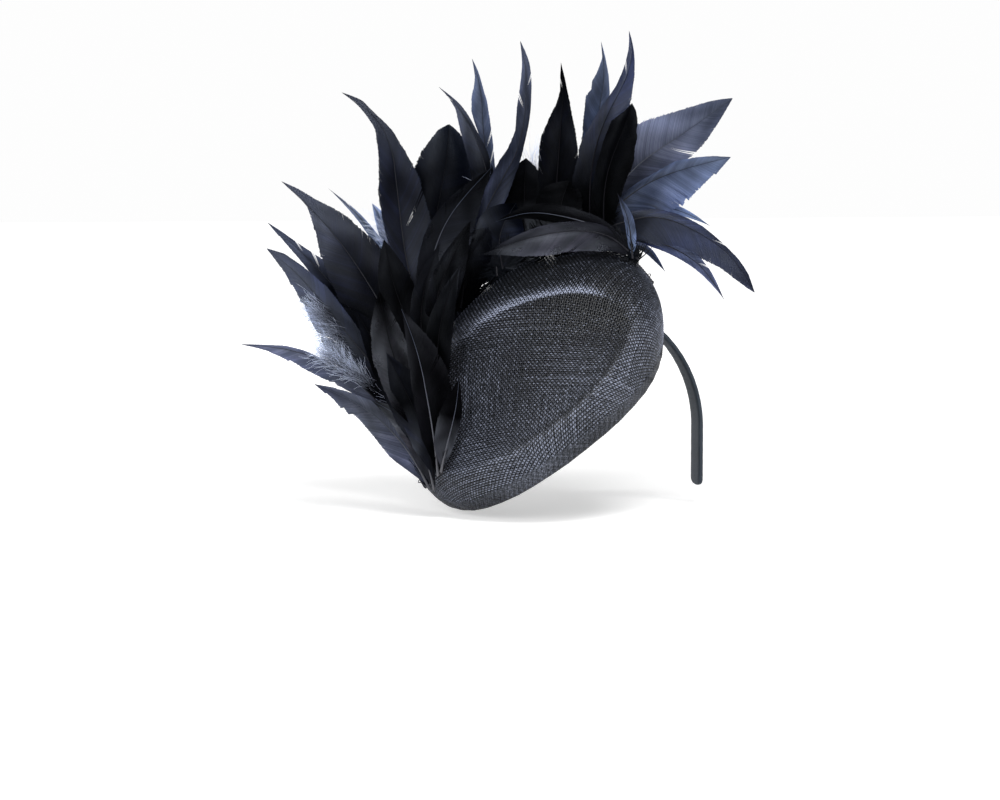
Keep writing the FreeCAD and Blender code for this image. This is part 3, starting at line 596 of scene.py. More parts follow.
def strands(name, lines, normals, widths, ridge, mat, tones, keep, tone_and_painted_light):
    """Flat woven strands, one per row of lines; kept where both ends of a step are."""
    count, stations = lines.shape[:2]
    verts = fibre_verts(lines, normals, widths[:, None, None] / 2, ridge).reshape(-1, 3)
    quads = fibre_quads(count, stations, keep=keep[:, :-1] & keep[:, 1:])
    used, renumbered = np.unique(quads, return_inverse=True)
    across = np.array([0, 0.5, 1.0]) + np.arange(count)[:, None, None] * 1.7
    uv = fibre_uv(np.arange(stations)[None, :, None] * 0.8, across, count, stations)[used]
    # shade: each strand's tone with painted light and shade, and a little random tone along it
    shade = tones[:, None, None] + tone_and_painted_light[:, :, None] + rng.normal(0, 0.05, (count, stations, 1))
    shade = np.broadcast_to(shade, (count, stations, 3)).reshape(-1)[used]
    make(name, verts[used], renumbered.reshape(quads.shape), None, uv, mat,
         shade=shade, slot="sinamay")


WEAVE_PITCH = 1.4
WEAVE_TURN = math.radians(55.0)
WEAVE_HEIGHT = 0.20  # how far strands ride over and under
HALF_COUNT = int((rim.max() + 4) / WEAVE_PITCH)


def crown_weave(number, hand):
    """One of the two crossing sets of strands; hand is 1 or -1."""
    index = np.arange(-HALF_COUNT, HALF_COUNT + 1)
    count = len(index)
    place = (index + 0.5) * WEAVE_PITCH + rng.normal(0, 0.08, count)
    run = np.arange(-2 * HALF_COUNT, 2 * HALF_COUNT + 1) * (WEAVE_PITCH / 2)
    place, run = np.meshgrid(place, run, indexing="ij")
    place = (place + 0.10 * np.sin(run * 0.11 + place[:, :1] * 1.3)
             + 0.05 * np.sin(run * 0.43 + index[:, None] * 2.1))
    over = np.sin(math.pi * run / WEAVE_PITCH) * np.where(index % 2 == 0, 1.0, -1.0)[:, None] * hand
    cos, sin = math.cos(WEAVE_TURN), math.sin(WEAVE_TURN)
    if hand > 0:
        a, b = place * cos - run * sin, place * sin + run * cos
    else:
        a, b = run * cos + place * sin, run * sin - place * cos
    angle, arc = np.arctan2(b, a), np.hypot(a, b)
    lines, normals = crown_surface(angle, arc, 0.42 + WEAVE_HEIGHT * over)
    keep = arc < rim_arc(angle) - 3.0
    widths = rng.uniform(0.50, 0.74, count)
    # each strand's tone varies at random; one set is painted a little lighter than the other, a
    # painted sheen
    tones = (np.clip(rng.normal(0.30, 0.05, count), 0.05, 0.7)
             + (0.04 if hand > 0 else -0.06))
    # painted highlight on the raised parts of a strand, here and there, and painted shade where it
    # dips under
    speck = rng.normal(0, 1.0, run.shape)
    speck = (speck + np.roll(speck, 1, 1) + np.roll(speck, 2, 1)) / 1.7
    painted_glint_and_shade = ((0.46 + 0.20 * speck) * np.clip(0.25 + 0.9 * over, 0, 1) ** 0.9
             - 0.36 * np.clip(-over, 0, 1))
    # painted sheen: one set of strands or the other is painted lighter in broad patches
    painted_sheen_patch = np.sin(a * 0.062 + b * 0.031 + 0.6) + 0.6 * np.sin(a * 0.023 - b * 0.090 + 2.0)
    painted_glint_and_shade = painted_glint_and_shade + 0.13 * painted_sheen_patch * hand
    # painted highlight and shade of the crown, halved where a strand dips under, plus the painted
    # glints and sheen
    tone_and_painted_light = crown_tone_and_painted_light(angle, arc) * np.where(over > -0.2, 1.0, 0.5) + painted_glint_and_shade
    for part, rows in enumerate((slice(0, HALF_COUNT), slice(HALF_COUNT, None))):
        strands("crown_weave_%d_%d" % (number, part + 1), lines[rows], normals[rows],
                widths[rows], 0.13, M_STRAW, tones[rows], keep[rows], tone_and_painted_light[rows])


crown_weave(1, 1)
crown_weave(2, -1)


def shell(name, off_out, off_in, stop, mat, slot, node, angles=240, steps=60):
    """A closed double-curved cloth layer that ends a distance stop above the rim."""
    angle = np.linspace(-math.pi, math.pi, angles, endpoint=False)
    arc = (rim_arc(angle) - stop)[:, None] * np.linspace(0, 1, steps + 1)[None, 1:]
    flat = np.stack([np.cos(angle)[:, None] * arc, np.sin(angle)[:, None] * arc], -1)
    j = np.arange(angles)
    j_next = (j + 1) % angles
    face_size = angles * steps + 1
    verts, quads, tris, uv = [], [], [], []
    for first, off, way in ((0, off_out, 1), (face_size, off_in, -1)):
        verts += [crown_surface(angle[:, None], arc, off)[0].reshape(-1, 3),
                  crown_surface(np.zeros(1), np.zeros(1), np.full(1, off))[0]]
        quads.append(grid_quads(angles, steps, first, wrap_rows=True)[:, ::way])
        fan = np.stack([0 * j + first + face_size - 1, first + j * steps,
                        first + j_next * steps], -1)
        tris.append(fan[:, ::way])
        uv += [flat.reshape(-1, 2), [[0, 0]]]
    end, end_next = j * steps + steps - 1, j_next * steps + steps - 1
    quads.append(np.stack([end, end + face_size, end_next + face_size, end_next], -1))
    layer = make(name, np.vstack(verts), np.vstack(quads), np.vstack(tris), np.vstack(uv), mat,
                 slot=slot)
    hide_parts(node)


shell("crown_under_layer", -0.15, -0.95, 2.6, M_UNDER_SHADED, "sinamay", "crown_outer_layer", 300, 90)
shell("crown_second_layer", -1.05, -1.8, 2.6, M_UNDER_SHADED, "sinamay", "crown_inner_layer")
shell("crown_lining_cloth", -2.0, -2.45, 3.0, M_LINING, "lining", "crown_lining")


# ------------------------------------------------------------- folded edge
def sweep(name, loop, mat, slot, node, ripple, count):
    """A closed section swept round the opening. loop holds (up, out) pairs:
    up from the edge along the cloth and out from its face."""
    angle = np.linspace(-math.pi, math.pi, count, endpoint=False)
    distance = np.interp(angle, RIM_ANGLES, rim_length)[:, None]
    up, out = np.array(loop).T[:, None, :]
    arc = rim_arc(angle)[:, None] - up
    points, _ = crown_surface(angle[:, None], arc, out + ripple(distance, up, out))
    uv = np.stack(np.broadcast_arrays(distance, path_length(np.array(loop))[None, :]), -1)
    obj = make(name, points, grid_quads(count, len(loop), wrap_rows=True, wrap_cols=True), None,
               uv, mat, slot=slot)
    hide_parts(node)


EDGE_LOOP = [
    (9.4, 0.05), (9.5, 0.25), (9.2, 0.5), (7.5, 0.6), (5.0, 0.68), (2.6, 0.8), (1.0, 0.9),
    (0.1, 0.8), (-0.6, 0.3), (-0.9, -0.6), (-0.8, -1.6), (-0.3, -2.5), (0.6, -3.0), (2.0, -3.15),
    (4.4, -3.15), (4.8, -2.9), (4.6, -2.65), (2.0, -2.6), (1.2, -2.5), (1.2, 0.0), (2.0, 0.1),
    (5.0, 0.1)]


def puckers(distance, up, out):
    return (0.10 * np.sin(distance * 0.52 + up * 0.4) * (up > 0) * (out > 0.2)
            + 0.06 * np.sin(distance * 0.191 + 1.0) * (out > 0.2))


sweep("edge_fold", EDGE_LOOP, M_EDGE, "sinamay", "edge_binding", puckers, 720)

# section followed by the bias strands over the folded edge: (up, out) pairs
STRAND_SECTION = np.array([
    (9.4, 0.62), (7.5, 0.74), (5.0, 0.82), (2.6, 0.94), (1.0, 1.02), (0.05, 0.92), (-0.7, 0.35),
    (-1.02, -0.6), (-0.92, -1.6), (-0.4, -2.6), (0.6, -3.12), (2.4, -3.28), (4.4, -3.28)])
EDGE_STRAND_GAP, EDGE_STRAND_STEP = 1.7, 0.72


def edge_weave(number, hand):
    section_length = path_length(STRAND_SECTION)
    count = int(rim_total / EDGE_STRAND_GAP)
    run = np.arange(0, section_length[-1], EDGE_STRAND_STEP)[None, :]
    start = (np.arange(count) + rng.uniform(-0.12, 0.12, count)) * (rim_total / count)
    distance = start[:, None] + run * hand
    wave = 0.16 * np.sin(math.pi * (run / 1.02) + (np.arange(count) % 2)[:, None] * math.pi) * hand
    up, out = interp_rows(run, section_length, STRAND_SECTION).transpose(2, 0, 1)
    up, out, angle = np.broadcast_arrays(up, out, rim_angle(distance))
    off = (out + puckers(distance % rim_total, up, out)
           + wave * np.where(out > 0, 1, -1) * (np.abs(up) > 0.9))
    arc = rim_arc(angle) - up
    lines, cloth_normals = crown_surface(angle, arc, off)
    beside_angle = rim_angle(distance + 0.8)
    beside, _ = crown_surface(beside_angle, rim_arc(beside_angle) - up, out)
    normals = unit(np.cross(beside - lines, np.gradient(lines, axis=1)))
    # strands face outwards above the fold and inwards under it
    facing = cloth_normals * np.where(out > -1.2, 1, -1)[..., None]
    normals = normals * np.sign((normals * facing).sum(-1, keepdims=True) + 1e-6)
    widths = rng.uniform(0.6, 0.9, count)
    tones = np.clip(rng.normal(0.34, 0.07, count), 0.05, 0.6)
    # painted highlight where a strand rides over the fold and painted shade where it dips under,
    # plus the crown's painted light and shade
    strands("edge_weave_%d" % number, lines, normals, widths, 0.09, M_STRAW_EDGE, tones,
            np.ones(lines.shape[:2], bool), 1.2 * wave + crown_tone_and_painted_light(angle, arc))


edge_weave(1, 1)
edge_weave(2, -1)

# ribbon inside the opening, with ribs across it
RIB_PITCH = 1.25
RIBBON_LOOP = ([(up, -3.85) for up in np.linspace(1.2, 16.0, 16)] + [(16.2, -3.6), (15.9, -3.35)]
               + [(up, -3.3) for up in (12.0, 8.0, 4.0)] + [(1.2, -3.35), (1.0, -3.6)])


def ribs(distance, up, out):
    inset = np.minimum(rise(up, 1.6, 1.2), rise(-up, -15.6, 1.2))
    rib = 0.5 + 0.5 * np.cos(distance * 2 * math.pi / RIB_PITCH)
    return np.where(out < -3.7, -0.16 * rib * inset, 0.0)


sweep("grosgrain_ribbon_cloth", RIBBON_LOOP, M_RIBBON, "ribbon", "grosgrain_ribbon", ribs, 2000)


def edge_stitches():
    """Hand stitches that hold the fold and the ribbon."""
    share = np.linspace(-1, 1, 7)
    dip = np.abs(share) ** 3 * 0.35
    threads = []
    # up from the edge, out from the cloth, count, slant, length
    for up, out, count, slant, length in ((8.4, 0.9, 110, 0.35, 1.6), (2.4, -4.1, 120, 0.0, 2.6)):
        for i in range(count):
            middle = (i + rng.uniform(-0.08, 0.08)) * rim_total / count
            angle = rim_angle(middle + length / 2 * share)
            line, _ = crown_surface(angle, rim_arc(angle) - (up + slant * share),
                                    out - np.sign(out) * dip)
            threads.append(rod(line, 0.16, 6))
    make("edge_hand_stitches", *join_rods(threads), M_STITCH, slot="thread")


edge_stitches()

# ---------------------------------------------------------------- headband
BAND_RADIUS, BAND_WIDTH, BAND_HALF_THICK = 74.5, 16.0, 1.5
BAND_DROP = 34.0  # straight part below the arch at each end
BAND_ARCH = math.pi * BAND_RADIUS
BAND_LENGTH = 2 * BAND_DROP + BAND_ARCH
BAND_SIDE = np.array((0.0, 1.0, 0.0))
STITCH_PITCH = 3.0


def band_path(s):
    """Centre line and outward normal by distance from the end at the wearer's right."""
    before, after = s < BAND_DROP, s > BAND_DROP + BAND_ARCH
    on_arch = (~(before | after))[..., None]
    turn = math.pi - (s - BAND_DROP) / BAND_RADIUS
    arch_normal = np.stack([np.cos(turn), 0 * turn, np.sin(turn)], -1)
    side = np.where(before, -1.0, 1.0)
    z = np.where(before, s - BAND_DROP, BAND_DROP + BAND_ARCH - s)
    normal = np.where(on_arch, arch_normal, np.stack([side, 0 * s, 0 * s], -1))
    centre = np.where(on_arch, BAND_RADIUS * arch_normal,
                      np.stack([side * BAND_RADIUS, 0 * s, z], -1))
    return centre, normal


def headband_cloth():
    rows, sides = 520, 40
    s = np.linspace(0, BAND_LENGTH, rows)
    centre, normal = band_path(s)
    turn = np.linspace(0, 2 * math.pi, sides, endpoint=False)
    cos, sin = np.cos(turn), np.sin(turn)
    # rounded rectangular section, as shares of the half width and half thickness
    across = np.sign(cos) * np.abs(cos) ** 0.28
    out = np.sign(sin) * np.abs(sin) ** 0.55
    from_end = np.minimum(s, BAND_LENGTH - s)
    taper = np.sqrt(np.clip(1 - (1 - np.clip(from_end / 4.2, 0, 1)) ** 2.2, 0, 1))
    half_width = BAND_WIDTH / 2 * (0.30 + 0.70 * taper)
    half_thick = BAND_HALF_THICK * (0.35 + 0.65 * taper)
    from_middle = across * BAND_WIDTH / 2
    puckered = 0.05 * np.sin(s * 0.9)[:, None] * np.cos(3 * turn) * (np.abs(across) > 0.8)
    groove = np.exp(-((np.abs(from_middle) - 7.1) / 0.5) ** 2) * -0.10
    seam = 0.22 * np.exp(-(from_middle / 0.5) ** 2) * (out < 0)
    height = out * half_thick[:, None] + np.sign(out) * (puckered + groove) - seam
    verts = (centre[:, None] + BAND_SIDE * (across * half_width[:, None])[..., None]
             + normal[:, None] * height[..., None])
    girth = path_length(np.stack([from_middle, out * BAND_HALF_THICK], -1))
    uv = np.stack(np.broadcast_arrays(s[:, None], girth[None, :]), -1).reshape(-1, 2)
    quads, tris = tube_faces(rows, sides)
    return make("headband_cloth", np.vstack([verts.reshape(-1, 3), centre[0], centre[-1]]),
                quads[:, ::-1], tris[:, ::-1], np.vstack([uv, [[0, 0], [BAND_LENGTH, 0]]]),
                M_BAND, body=None, slot="band_cover")


def headband_stitches():
    """Two rows of stitches along the seam on the inner face."""
    share = np.linspace(-1, 1, 5)
    depth = 1.66 - np.abs(share) ** 3 * 0.25
    threads = []
    for i in range(int(BAND_LENGTH / STITCH_PITCH)):
        middle = STITCH_PITCH * i + 2.5
        if not 5 < middle < BAND_LENGTH - 5:
            continue
        for side, shift in ((-0.55, 0), (0.55, 0.4)):
            centre, normal = band_path(middle + 0.9 * share + shift)
            threads.append(rod(centre - normal * depth[:, None] + BAND_SIDE * side, 0.12, 5))
    return make("headband_seam_stitches", *join_rods(threads), M_STITCH, body=None, slot="thread")


cover = headband_cloth()
seam_stitches = headband_stitches()
for obj in (cover, seam_stitches):
    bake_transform(obj)
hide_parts("headband_cover_centre", "headband_cover_left_arm")

# ------------------------------------------------------------------- cords
CORD_BACK = [
    (-81.6, 21.5, -33.5), (-87.1, 34.3, -18.9), (-87.2, 43.8, -2.4), (-82.9, 50.7, 15.7),
    (-75.6, 54.5, 33.0), (-64.7, 55.8, 51.0), (-51.3, 54.1, 67.5), (-35.6, 49.5, 82.1),
    (-18.0, 41.7, 93.9), (1.6, 30.0, 101.7), (20.1, 15.3, 102.6), (34.3, -0.2, 96.1),
    (42.6, -14.1, 83.6)]
CORD_FRONT = [
    (-85.4, -30.5, -19.8), (-86.3, -25.1, -9.8), (-85.9, -18.7, 0.1), (-84.5, -13.1, 10.8),
    (-82.3, -8.7, 21.6), (-79.1, -5.4, 32.5), (-75.2, -3.7, 42.4)]
PLY_OFFSET, PLY_RADIUS, PLY_LAY = 0.56, 0.6, 5.0


def cord(node, points):
    """Three plies twisted round each other."""
    line, length = along(points, 40 + 12 * len(points))
    line, length = along(line, int(length / 0.55))
    tangent = unit(np.gradient(line, axis=0))
    across = unit(np.cross(tangent, (0.3, 0.2, 0.93)))
    other = np.cross(tangent, across)
    twist = np.linspace(0, length, len(line)) * 2 * math.pi / PLY_LAY
    plies = []
    for phase in (0, 2 * math.pi / 3, 4 * math.pi / 3):
        turn = (twist + phase)[:, None]
        plies.append(rod(line + PLY_OFFSET * (np.cos(turn) * across + np.sin(turn) * other),
                         PLY_RADIUS))
    obj = make(node + "_plies", *join_rods(plies), M_CORD, slot="cord")
    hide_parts(node)


cord("feather_cord_back", CORD_BACK)
cord("feather_cord_front", CORD_FRONT)

